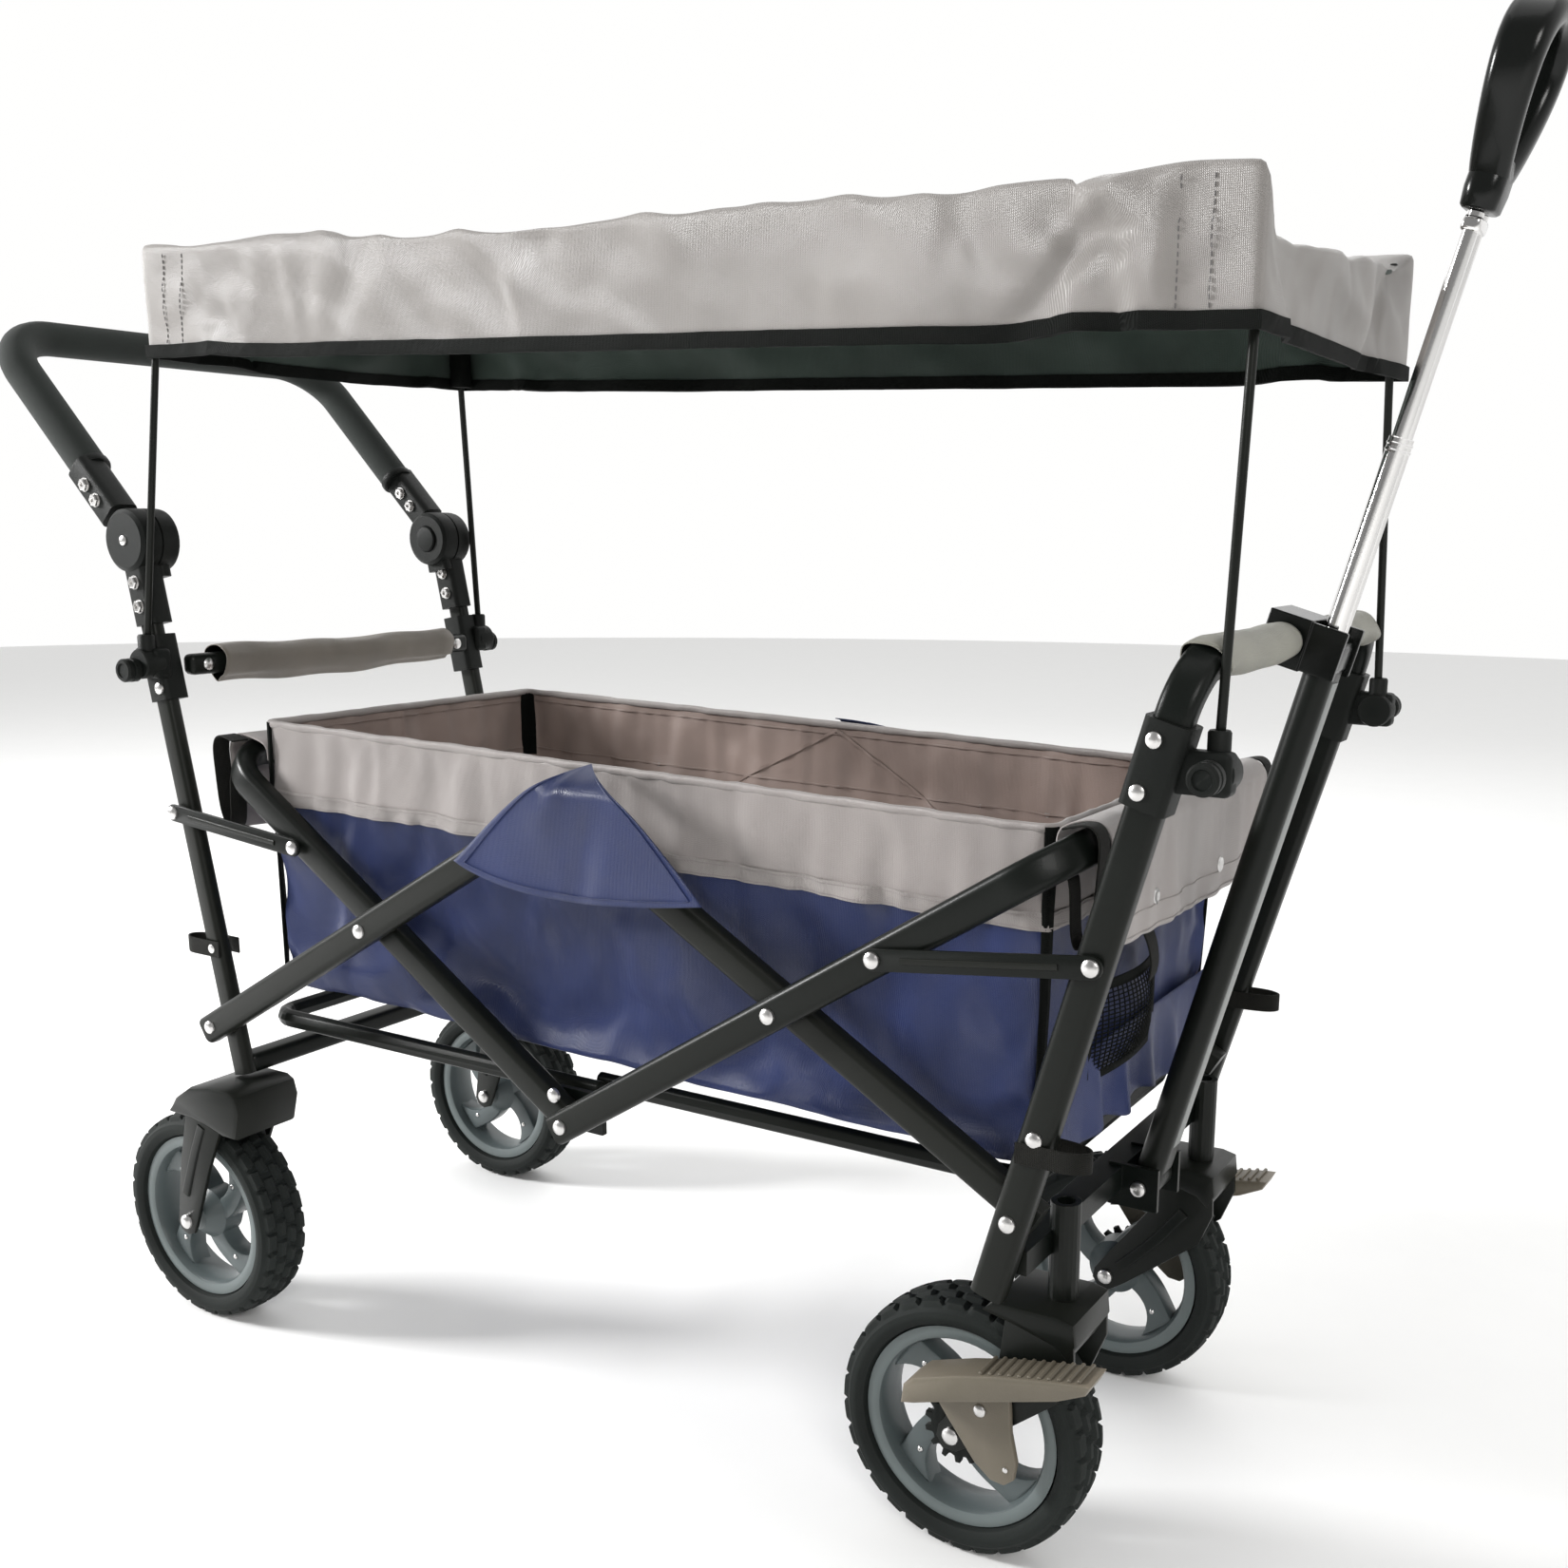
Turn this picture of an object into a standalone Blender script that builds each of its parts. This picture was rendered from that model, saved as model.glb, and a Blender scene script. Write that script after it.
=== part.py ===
"""Kids pull wagon: folding tube frame, fabric tub and canopy, casters and a telescopic pull handle.

+X is forward, +Y left, +Z up. X positions are measured from the middle of the wheelbase and
moved by MID_X, so that the origin lies under the centre of the whole outline.
"""
import math

import bmesh
import bpy
from mathutils import Matrix, Vector

# ---- driving dimensions, metres --------------------------------------------------------------
MID_X = -0.0302           # wheelbase middle, from the centre of the outline
GAP = 0.0003              # between pieces that touch
WHEEL_R = 0.100
TYRE_W = 0.048
RIM_R = 0.0780
RIM_BAND_R = 0.066        # inner edge of the rim's outer band
RIM_HALF = 0.0175         # half the band's width
HUB_R = 0.020
HUB_HALF = 0.0220
GEAR_R = 0.027            # toothed brake ring on a front hub
BORE_R = 0.0058
AXLE_R = 0.005
TYRE_STEPS = 36           # a flat facet lies at the bottom
RIM_STEPS = 32
HUB_X = 0.3895            # half the wheelbase
REAR_WHEEL_Y = 0.194
FRONT_WHEEL_Y = 0.146

TUBE_H = 0.025            # flat side of the frame tubes
TUBE_T = 0.018            # their thickness across the wagon
INNER_Y = 0.186           # tube layer next to the tub
OUTER_Y = 0.2055          # tube layer outside it

# scissor pivots (x, z): feet of the braces, and the tubes that cross them
REAR_FOOT = Vector((-0.352, 0.2925))
FRONT_FOOT = Vector((0.447, 0.2925))
BRACE_TOP = Vector((0.0475, 0.5265))
REAR_CROSS = (REAR_FOOT + BRACE_TOP) / 2
FRONT_CROSS = Vector((0.256, 0.4044))
REAR_SCISSOR_FOOT = Vector((0.0352, 0.2835))
FRONT_SCISSOR_FOOT = Vector((0.0600, 0.2810))
REAR_SCISSOR_TOP_X = -0.343
FRONT_SCISSOR_TOP_X = 0.476
REAR_LINK_FRAME = Vector((-0.398, 0.483))
REAR_LINK_TUBE = Vector((-0.2431, 0.4680))
FRONT_LINK_FRAME = Vector((0.5013, 0.478))
FRONT_LINK_TUBE = Vector((0.344, 0.4598))

FLOOR_REAR = Vector((-0.346, 0.2925))
FLOOR_FRONT = Vector((0.441, 0.2925))

# rear frame
UPRIGHT_FOOT = Vector((-0.3413, 0.2432))
ADJUSTER = Vector((-0.4385, 0.7236))
ADJUSTER_R = 0.028
PUSH_ANGLE = math.radians(135)
PUSH_REACH = 0.262
PUSH_Y = 0.182
GRAB_BAR = Vector((-0.402, 0.614))

# front frame: the legs lean forward along this slope (x per z)
LEG_SLOPE = 0.282
LEG_FOOT_Z = 0.236
TOP_BAR_Z = 0.672
STEM = Vector((0.460, 0.0))
STEM_LOW_Z = 0.216
STEM_TOP_Z = 0.287

# pull handle
HANDLE_PIVOT = Vector((0.468, 0.252))
HANDLE_SLOPE = 0.270
HANDLE_TUBE_END = 0.435   # distances along the handle from its pivot
LOWER_STAGE = (0.395, 0.574)
UPPER_STAGE = (0.545, 0.716)
GRIP_END = 0.842
TWIN_Y = 0.0066

# soft goods
TUB_X = (-0.310, 0.452)
TUB_Y = 0.173
TUB_Z = (0.318, 0.566)
CANOPY_X = (-0.409, 0.578)
CANOPY_Y = 0.190
CANOPY_Z = (0.866, 0.968)
ROD_R = 0.003
REAR_ROD = ((-0.4105, 0.2050, 0.6280), (-0.3960, 0.1740, 0.9600))     # (x, |y|, z) of its ends
FRONT_ROD = ((0.5690, 0.1980, 0.6150), (0.5670, 0.1580, 0.9600))

SIDES = {"right": -1, "left": 1}


# ---- scene and materials ---------------------------------------------------------------------
for old in list(bpy.data.objects):
    bpy.data.objects.remove(old, do_unlink=True)

parts = bpy.data.collections.new("kids_pull_wagon")
cutters = bpy.data.collections.new("cutters")
bpy.context.scene.collection.children.link(parts)
bpy.context.scene.collection.children.link(cutters)


def make_material(name, colour, roughness, metallic=0.0):
    material = bpy.data.materials.new(name)
    material.use_nodes = True
    shader = material.node_tree.nodes["Principled BSDF"]
    shader.inputs["Base Color"].default_value = (*colour, 1.0)
    shader.inputs["Roughness"].default_value = roughness
    shader.inputs["Metallic"].default_value = metallic
    return material


FRAME = make_material("frame_black", (0.018, 0.022, 0.020), 0.35, 0.3)
PLASTIC = make_material("black_plastic", (0.020, 0.022, 0.021), 0.5)
FOAM = make_material("black_foam", (0.020, 0.022, 0.022), 0.85)
CHROME = make_material("chrome", (0.75, 0.75, 0.76), 0.12, 1.0)
RUBBER = make_material("tyre_rubber", (0.018, 0.020, 0.018), 0.75)
RIM = make_material("rim_grey", (0.085, 0.100, 0.105), 0.35)
PEDAL = make_material("pedal_brown", (0.115, 0.095, 0.075), 0.5)
NAVY = make_material("navy_fabric", (0.028, 0.035, 0.140), 0.75)
GREY = make_material("grey_fabric", (0.330, 0.310, 0.310), 0.75)


# ---- helpers ---------------------------------------------------------------------------------
def at(point, y=0.0):
    """World position of a side-view point (x from the wheelbase middle, z) at height-plane y."""
    return Vector((point[0] + MID_X, y, point[1]))


def tilt(direction):
    """Turn about Y that lays local X along a side-view direction."""
    return Matrix.Rotation(-math.atan2(direction[1], direction[0]), 4, "Y")


def pivot(name, location):
    """An empty on a joint's axis, which the pieces of that body are parented to."""
    empty = bpy.data.objects.new(name, None)
    empty.location = location
    empty.empty_display_size = 0.03
    parts.objects.link(empty)
    return empty


def finish(obj, name, material, parent=None, smooth=True):
    """Name a piece, give it its material and parent it without moving it."""
    for collection in list(obj.users_collection):
        collection.objects.unlink(obj)
    parts.objects.link(obj)
    obj.name = name
    obj.data.name = name
    obj.data.materials.clear()
    obj.data.materials.append(material)
    if smooth and obj.type == "MESH":
        obj.data.shade_smooth()
        obj.data.set_sharp_from_angle(angle=math.radians(35))
    if parent:
        bpy.context.view_layer.update()
        obj.parent = parent
        obj.matrix_parent_inverse = parent.matrix_world.inverted()
    return obj


def box(centre, size, turn=Matrix.Identity(4), bevel=0.0):
    """A box with its size applied, placed and turned, with optional rounded edges."""
    bpy.ops.mesh.primitive_cube_add(size=1)
    obj = bpy.context.object
    obj.data.transform(Matrix.Diagonal((*size, 1)))
    obj.matrix_world = Matrix.Translation(centre) @ turn
    if bevel:
        edge = obj.modifiers.new("edges", "BEVEL")
        edge.width = bevel
        edge.segments = 1
    return obj


def cylinder(centre, radius, length, axis="Y", sides=20):
    turns = {"X": Matrix.Rotation(math.pi / 2, 4, "Y"), "Y": Matrix.Rotation(math.pi / 2, 4, "X"),
             "Z": Matrix.Identity(4)}
    bpy.ops.mesh.primitive_cylinder_add(vertices=sides, radius=radius, depth=length)
    obj = bpy.context.object
    obj.matrix_world = Matrix.Translation(centre) @ turns[axis]
    return obj


def bar(start, end, y, height=TUBE_H, thick=TUBE_T, overrun=0.0, bevel=0.003):
    """A straight flat tube in the side view, from one point to another."""
    run = end - start
    middle = (start + end) / 2
    size = (run.length + 2 * overrun, thick, height)
    return box(at(middle, y), size, tilt(run), bevel)


def turned(profile, centre, axis="Y", steps=24, start_turn=0.0):
    """A ring turned from a closed profile of (radius, height) points, down its outer side."""
    mesh = bpy.data.meshes.new("turned")
    points = [(radius, 0.0, height) for radius, height in profile]
    edges = [(i, (i + 1) % len(points)) for i in range(len(points))]
    mesh.from_pydata(points, edges, [])
    obj = bpy.data.objects.new("turned", mesh)
    parts.objects.link(obj)
    screw = obj.modifiers.new("turn", "SCREW")
    screw.steps = steps
    screw.render_steps = steps
    screw.use_merge_vertices = True
    screw.merge_threshold = 0.00001
    lay = Matrix.Rotation(math.pi / 2, 4, "X") if axis == "Y" else Matrix.Identity(4)
    obj.matrix_world = Matrix.Translation(centre) @ lay @ Matrix.Rotation(start_turn, 4, "Z")
    return obj


def rounded(corners, radius, steps=5):
    """Points of a path through the corners, with each inner corner rounded by an arc."""
    corners = [Vector(corner) for corner in corners]
    points = [corners[0]]
    for before, corner, after in zip(corners, corners[1:], corners[2:]):
        a = (before - corner).normalized()
        b = (after - corner).normalized()
        half = a.angle(b) / 2
        reach = radius / math.tan(half)
        centre = corner + (a + b).normalized() * (radius / math.sin(half))
        first = corner + a * reach - centre
        last = corner + b * reach - centre
        for step in range(steps + 1):
            arc = first.lerp(last, step / steps).normalized() * radius
            points.append(centre + arc)
    points.append(corners[-1])
    return points


def tube(points, radius, place, flat=1.0, hollow=0.0, closed=False, resolution=2):
    """A tube along points of its own XY plane; flat stretches its section off that plane."""
    curve = bpy.data.curves.new("tube", "CURVE")
    curve.dimensions = "3D"
    curve.bevel_depth = radius
    curve.bevel_resolution = resolution
    curve.use_fill_caps = not hollow and not closed
    spline = curve.splines.new("POLY")
    spline.points.add(len(points) - 1)
    spline.use_cyclic_u = closed
    for slot, point in zip(spline.points, points):
        slot.co = (point[0], point[1], 0.0, 1.0)
    source = bpy.data.objects.new("tube", curve)
    parts.objects.link(source)
    bpy.context.view_layer.update()
    depsgraph = bpy.context.evaluated_depsgraph_get()
    mesh = bpy.data.meshes.new_from_object(source.evaluated_get(depsgraph))
    bpy.data.objects.remove(source, do_unlink=True)
    mesh.transform(Matrix.Diagonal((1, 1, flat, 1)))
    weld_caps(mesh)
    obj = bpy.data.objects.new("tube", mesh)
    parts.objects.link(obj)
    obj.matrix_world = place
    if hollow:
        shell = obj.modifiers.new("wall", "SOLIDIFY")
        shell.thickness = hollow
        shell.offset = -1
    return obj


def weld_caps(mesh):
    """Close the seam between a tube's wall and its caps."""
    form = bmesh.new()
    form.from_mesh(mesh)
    bmesh.ops.remove_doubles(form, verts=form.verts, dist=0.00001)
    bmesh.ops.recalc_face_normals(form, faces=form.faces)
    form.to_mesh(mesh)
    form.free()


def outline(points, thickness, place):
    """A flat plate: a filled 2D outline, half its thickness to each side of its plane."""
    curve = bpy.data.curves.new("plate", "CURVE")
    curve.dimensions = "2D"
    curve.fill_mode = "BOTH"
    curve.extrude = thickness / 2
    spline = curve.splines.new("POLY")
    spline.points.add(len(points) - 1)
    spline.use_cyclic_u = True
    for slot, point in zip(spline.points, points):
        slot.co = (point[0], point[1], 0.0, 1.0)
    source = bpy.data.objects.new("plate", curve)
    parts.objects.link(source)
    bpy.context.view_layer.update()
    depsgraph = bpy.context.evaluated_depsgraph_get()
    mesh = bpy.data.meshes.new_from_object(source.evaluated_get(depsgraph))
    bpy.data.objects.remove(source, do_unlink=True)
    weld_caps(mesh)
    obj = bpy.data.objects.new("plate", mesh)
    parts.objects.link(obj)
    obj.matrix_world = place
    return obj


def combine(obj, others, operation="UNION"):
    """Boolean each of the others into the object; they stay as hidden guides."""
    for index, other in enumerate(others):
        modifier = obj.modifiers.new(f"{operation.lower()}_{index}", "BOOLEAN")
        modifier.operation = operation
        modifier.solver = "EXACT"
        modifier.object = other
        for collection in list(other.users_collection):
            collection.objects.unlink(other)
        cutters.objects.link(other)
        other.hide_render = True
        other.display_type = "WIRE"
    return obj


def cut(obj, others):
    return combine(obj, others, "DIFFERENCE")


def side_plane(y=0.0):
    """Placement of a plate drawn in the side view: its X is forward, its Y is up."""
    return Matrix.Translation((MID_X, y, 0)) @ Matrix.Rotation(math.pi / 2, 4, "X")


# ---- wheels ----------------------------------------------------------------------------------
def tyre_profile():
    """Half-round shoulders between a flat tread and the bead, as one closed outline."""
    bead = RIM_R + GAP
    half = TYRE_W / 2
    flat_r = WHEEL_R / math.cos(math.pi / TYRE_STEPS)
    upper = [(bead, half - 0.005), (flat_r - 0.011, half), (flat_r - 0.003, half - 0.003),
             (flat_r, half - 0.009)]
    return upper + [(radius, -height) for radius, height in reversed(upper)]


def rim_profile(gear):
    """Outer band, web and hub of a rim; the gear is the brake ring on the hub's outer end."""
    web = 0.004
    gear_start = 0.016
    top = [(HUB_R, HUB_HALF), (HUB_R, web), (RIM_BAND_R, web), (RIM_BAND_R, RIM_HALF),
           (RIM_R, RIM_HALF)]
    if gear:
        top = [(GEAR_R, HUB_HALF), (GEAR_R, gear_start), (HUB_R, gear_start)] + top[1:]
    low = [(RIM_R, -RIM_HALF), (RIM_BAND_R, -RIM_HALF), (RIM_BAND_R, -web), (HUB_R, -web),
           (HUB_R, -HUB_HALF)]
    return [(BORE_R, HUB_HALF)] + top + low + [(BORE_R, -HUB_HALF)]


def make_wheel(end, side, hub, parent):
    """Tyre and rim of one wheel; four windows leave four spokes."""
    sign = SIDES[side]
    half_step = math.pi / TYRE_STEPS
    tyre = turned(tyre_profile(), hub, steps=TYRE_STEPS, start_turn=half_step)
    finish(tyre, f"{end}_tyre_{side}", RUBBER, parent)
    rim = turned(rim_profile(end == "front"), hub, steps=RIM_STEPS)
    if sign > 0:
        rim.matrix_world = rim.matrix_world @ Matrix.Rotation(math.pi, 4, "X")
    windows = []
    for quarter in range(4):
        angle = math.radians(45 + 90 * quarter)
        offset = Vector((math.cos(angle), 0, math.sin(angle))) * 0.044
        windows.append(cylinder(hub + offset, 0.0165, 0.03, sides=14))
    cut(rim, windows)
    finish(rim, f"{end}_rim_{side}", RIM, parent)


def fork_plates(side, wheel_y, hub_x, crown, half_gap, arm_top, thick=0.004):
    """Two arms from a crown block down to the wheel's axle, and the axle between them."""
    sign = SIDES[side]
    hub = Vector((hub_x, WHEEL_R))
    pieces = []
    for inside in (-1, 1):
        y = sign * wheel_y + inside * (half_gap + thick / 2)
        pieces.append(bar(hub, arm_top, y, 0.026, thick, 0.010, 0.0))
    axle_length = 2 * (half_gap + thick) + 0.008
    pieces.append(cylinder(at(hub, sign * wheel_y), AXLE_R, axle_length, sides=16))
    return combine(crown, pieces)


# ---- rear frame ------------------------------------------------------------------------------
def upright_x(z):
    """The uprights' centre line in the side view."""
    share = (z - UPRIGHT_FOOT.y) / (ADJUSTER.y - UPRIGHT_FOOT.y)
    return UPRIGHT_FOOT.x + share * (ADJUSTER.x - UPRIGHT_FOOT.x)


def make_rear_frame():
    """Two leaning uprights welded to a lower cross tube."""
    top = Vector((upright_x(0.683), 0.683))
    right = bar(UPRIGHT_FOOT, top, -INNER_Y)
    left = bar(UPRIGHT_FOOT, top, INNER_Y)
    cross_z = 0.252
    cross = box(at((upright_x(cross_z), cross_z)), (0.022, 2 * INNER_Y, TUBE_T))
    combine(right, [cross, left])
    finish(right, "rear_frame", FRAME)


def make_rear_fork(side):
    sign = SIDES[side]
    crown = box(at((-0.348, 0.2235), sign * REAR_WHEEL_Y), (0.066, 0.066, 0.033), bevel=0.004)
    fork_plates(side, REAR_WHEEL_Y, -HUB_X, crown, 0.029, Vector((-0.352, 0.222)))
    finish(crown, f"rear_fork_{side}", FRAME)


def make_clamp(end, side, along, low_z, high_z, tube_y, centre_x, rod, knob):
    """Sleeve round a frame tube with a boss for the canopy rod, bored for the rod and knob."""
    sign = SIDES[side]
    low = Vector((centre_x(low_z), low_z))
    high = Vector((centre_x(high_z), high_z))
    sleeve = bar(low, high, sign * tube_y, 0.031, 0.0265, 0.0, 0.002)
    arm_x = (low.x + high.x) / 2
    boss_y = sign * rod.y
    boss = box(at((rod.x, rod.z - 0.012), boss_y), (0.022, 0.018, 0.030), bevel=0.003)
    reach = box(at(((rod.x + arm_x) / 2, rod.z - 0.012), sign * (rod.y + tube_y) / 2),
                (abs(rod.x - arm_x) + 0.012, 0.014, 0.022))
    combine(sleeve, [boss, reach])
    long_low = low - (high - low)
    long_high = high + (high - low)
    hole = bar(long_low, long_high, sign * tube_y, TUBE_H + 2 * GAP, TUBE_T + 2 * GAP, 0.0, 0.0)
    socket = cylinder(at((rod.x, rod.z + 0.003), boss_y), ROD_R + 0.0008, 0.024, "Z", 12)
    cut(sleeve, [hole, socket])
    finish(sleeve, f"{end}_clamp_{side}", PLASTIC, along)
    knob_w = 0.014
    face = max(rod.y + 0.009, tube_y + 0.0265 / 2) + GAP
    knob_axis = pivot(f"{end}_knob_{side}_axis", at(knob, sign * (face + knob_w / 2)))
    head = cylinder(knob_axis.location, 0.0105, knob_w, sides=16)
    finish(head, f"{end}_knob_{side}", PLASTIC, knob_axis)


def make_grab_bar():
    inner = INNER_Y - 0.0265 / 2 - GAP
    steel = cylinder(at(GRAB_BAR), 0.0098, 2 * inner, sides=16)
    finish(steel, "rear_grab_bar", FRAME)
    place = Matrix.Translation(at(GRAB_BAR)) @ Matrix.Rotation(math.pi / 2, 4, "Z")
    sleeve = tube([(-0.140, 0), (0.140, 0)], 0.0175, place, hollow=0.0065, resolution=3)
    finish(sleeve, "rear_grab_sleeve", GREY)


def make_adjuster(side):
    """Disc on the upright with its button inside, and the push bar's disc outside it."""
    sign = SIDES[side]
    inner_y = sign * 0.1700
    outer_y = sign * 0.1903
    disc_w = 0.0195
    disc = cylinder(at(ADJUSTER, inner_y), ADJUSTER_R, disc_w, sides=24)
    low = Vector((upright_x(0.650), 0.650))
    high = Vector((upright_x(0.6905), 0.6905))
    sleeve = bar(low, high, sign * INNER_Y, 0.031, 0.0225, 0.0, 0.003)
    neck = bar(high, ADJUSTER, inner_y + sign * 0.001, 0.028, 0.0170, 0.0, 0.0)
    combine(disc, [sleeve, neck])
    lower = Vector((upright_x(0.600), 0.600))
    upper = Vector((upright_x(0.6836), 0.6836))
    button_y = inner_y - sign * disc_w / 2
    hollow = cylinder(at(ADJUSTER, button_y), 0.0140, 0.012, sides=20)
    socket = bar(lower, upper, sign * INNER_Y, TUBE_H + 2 * GAP, TUBE_T + 2 * GAP, 0.0, 0.0)
    cut(disc, [socket, hollow])
    finish(disc, f"adjuster_base_{side}", PLASTIC)
    cap = cylinder(at(ADJUSTER, outer_y), ADJUSTER_R, disc_w, sides=24)
    direction = Vector((math.cos(PUSH_ANGLE), math.sin(PUSH_ANGLE)))
    stub = bar(ADJUSTER + direction * 0.012, ADJUSTER + direction * 0.090, sign * (PUSH_Y + 0.004),
               0.028, 0.026, 0.0, 0.004)
    shave = cylinder(at(ADJUSTER, sign * 0.168), ADJUSTER_R + 0.001, 0.024, sides=24)
    cut(stub, [shave])
    button_axis = pivot(f"adjuster_button_{side}_axis", at(ADJUSTER, button_y))
    button = cylinder(button_axis.location, 0.0133, 0.004, sides=20)
    finish(button, f"adjuster_button_{side}", PLASTIC, button_axis)
    return cap, stub


def push_path(start, radius=0.052):
    """The push bar's U in its own plane: X away from the discs, Y across."""
    corners = [(start, -PUSH_Y), (PUSH_REACH, -PUSH_Y), (PUSH_REACH, PUSH_Y), (start, PUSH_Y)]
    return rounded(corners, radius, 6)


def make_push_bar():
    axis = pivot("push_bar_axis", at(ADJUSTER))
    pieces = [make_adjuster(side) for side in SIDES]
    direction = (math.cos(PUSH_ANGLE), math.sin(PUSH_ANGLE))
    place = Matrix.Translation(at(ADJUSTER)) @ tilt(direction)
    steel = tube(push_path(0.060), 0.0094, place)
    caps, stubs = zip(*pieces)
    combine(steel, stubs + caps)
    finish(steel, "push_bar", FRAME, axis)
    foam = tube(push_path(0.0910), 0.0160, place, hollow=0.0055, resolution=3)
    finish(foam, "push_grip", FOAM, axis)


# ---- front frame -----------------------------------------------------------------------------
def leg_x(z):
    """The front legs' centre line in the side view."""
    return FRONT_FOOT.x + LEG_SLOPE * (z - FRONT_FOOT.y)


LEG_FOOT = Vector((leg_x(LEG_FOOT_Z), LEG_FOOT_Z))
TOP_BAR = Vector((leg_x(TOP_BAR_Z), TOP_BAR_Z))


def make_front_frame(parent):
    """Leaning U-tube: two legs and the bar over them."""
    run = TOP_BAR - LEG_FOOT
    place = Matrix.Translation(at(LEG_FOOT)) @ tilt(run)
    length = run.length
    corners = [(0, -OUTER_Y), (length, -OUTER_Y), (length, OUTER_Y), (0, OUTER_Y)]
    frame = tube(rounded(corners, 0.035), TUBE_T / 2, place, TUBE_H / TUBE_T)
    finish(frame, "front_frame", FRAME, parent)
    for side, sign in SIDES.items():
        sleeve_place = (Matrix.Translation(at(TOP_BAR, sign * 0.087)) @ tilt(run)
                        @ Matrix.Rotation(math.pi / 2, 4, "Z"))
        ends = [(-0.055, 0), (0.055, 0)]
        sleeve = tube(ends, 0.0165, sleeve_place, flat=1.12, hollow=0.0030, resolution=3)
        finish(sleeve, f"top_sleeve_{side}", GREY, parent)


def make_handle_clip(parent):
    """Block on the top bar with two cheeks that hold the pull handle, open to the front."""
    run = TOP_BAR - LEG_FOOT
    turn = tilt(run)
    body = box(at(TOP_BAR) + turn @ Vector((0, 0, 0.0005)), (0.036, 0.048, 0.0310), turn)
    cheeks = box(at(TOP_BAR) + turn @ Vector((0, 0, -0.0270)), (0.034, 0.046, 0.026), turn)
    slot = box(at(TOP_BAR) + turn @ Vector((0, 0, -0.0400)), (0.050, 0.0375, 0.0500), turn)
    hole = tube([(-0.1, 0), (0.1, 0)], TUBE_T / 2 + 0.0006,
                Matrix.Translation(at(TOP_BAR)) @ turn @ Matrix.Rotation(math.pi / 2, 4, "Z"),
                flat=TUBE_H / TUBE_T)
    combine(body, [cheeks])
    cut(body, [slot, hole])
    finish(body, "handle_clip", PLASTIC, parent)


def make_front_cross_bar(parent):
    """Bar between the legs with the two caster sockets and the handle's clevis and pin."""
    cross_z = 0.258
    cross = box(at((0.443, cross_z)), (0.022, 2 * (OUTER_Y - TUBE_T / 2 - GAP), TUBE_T))
    extra = []
    bores = []
    stem_z = (STEM_LOW_Z + STEM_TOP_Z) / 2
    for sign in SIDES.values():
        centre = at((STEM.x, stem_z), sign * FRONT_WHEEL_Y)
        extra.append(cylinder(centre, 0.0110, STEM_TOP_Z - STEM_LOW_Z, "Z", 20))
        bores.append(cylinder(centre, 0.0066, 0.1, "Z", 16))
        extra.append(box(at((0.4630, 0.252), sign * 0.0228), (0.040, 0.004, 0.034)))
    extra.append(cylinder(at(HANDLE_PIVOT), 0.0040, 0.056, sides=12))
    combine(cross, extra)
    cut(cross, bores)
    finish(cross, "front_cross_bar", FRAME, parent)


def make_caster(side, frame_parent):
    """Swivel fork with its kingpin, the wheel in it and the brake pedal on its outer arm."""
    sign = SIDES[side]
    y = sign * FRONT_WHEEL_Y
    swivel = pivot(f"caster_{side}_axis", at((STEM.x, STEM_LOW_Z), y))
    swivel.parent = frame_parent
    swivel.matrix_parent_inverse = frame_parent.matrix_world.inverted()
    crown = box(at((0.447, 0.2105), y), (0.062, 0.0650, 0.009))
    fork_plates(side, FRONT_WHEEL_Y, HUB_X, crown, 0.0275, Vector((0.459, 0.200)))
    pin = cylinder(at((STEM.x, 0.246), y), 0.0056, 0.070, "Z", 16)
    combine(crown, [pin])
    finish(crown, f"caster_fork_{side}", FRAME, swivel)
    spin = pivot(f"front_wheel_{side}_axis", at((HUB_X, WHEEL_R), y))
    make_wheel("front", side, spin.location, spin)
    make_pedal(side)


def make_pedal(side):
    """Foot pedal: a ribbed tread sloping up to the front, and the pawl plate below it."""
    sign = SIDES[side]
    hinge = Vector((0.416, 0.132))
    plate_y = sign * (FRONT_WHEEL_Y + 0.0275 + 0.004 + 0.0010 + 0.0030)
    axis = pivot(f"brake_pedal_{side}_axis", at(hinge, plate_y))
    shape = [(0.372, 0.136), (0.428, 0.078), (0.442, 0.080), (0.447, 0.098), (0.440, 0.140),
             (0.505, 0.175), (0.500, 0.182), (0.372, 0.152)]
    plate = outline(shape, 0.006, side_plane(plate_y))
    tread_y = sign * (FRONT_WHEEL_Y + 0.0275 + 0.0055 + 0.016)
    tread_shape = [(0.366, 0.138), (0.372, 0.156), (0.440, 0.176), (0.496, 0.189), (0.510, 0.190),
                   (0.500, 0.178), (0.440, 0.152)]
    tread = outline(tread_shape, 0.030, side_plane(tread_y))
    combine(plate, [tread])
    finish(plate, f"brake_pedal_{side}", PEDAL, axis)


# ---- pull handle -----------------------------------------------------------------------------
HANDLE_RUN = Vector((HANDLE_SLOPE, 1.0)).normalized()


def along_handle(distance, y=0.0):
    return at(HANDLE_PIVOT + HANDLE_RUN * distance, y)


def handle_plane(distance=0.0):
    """Placement with local X up the handle, local Y across and local Z to the front."""
    return Matrix.Translation(along_handle(distance)) @ tilt(HANDLE_RUN)


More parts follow.
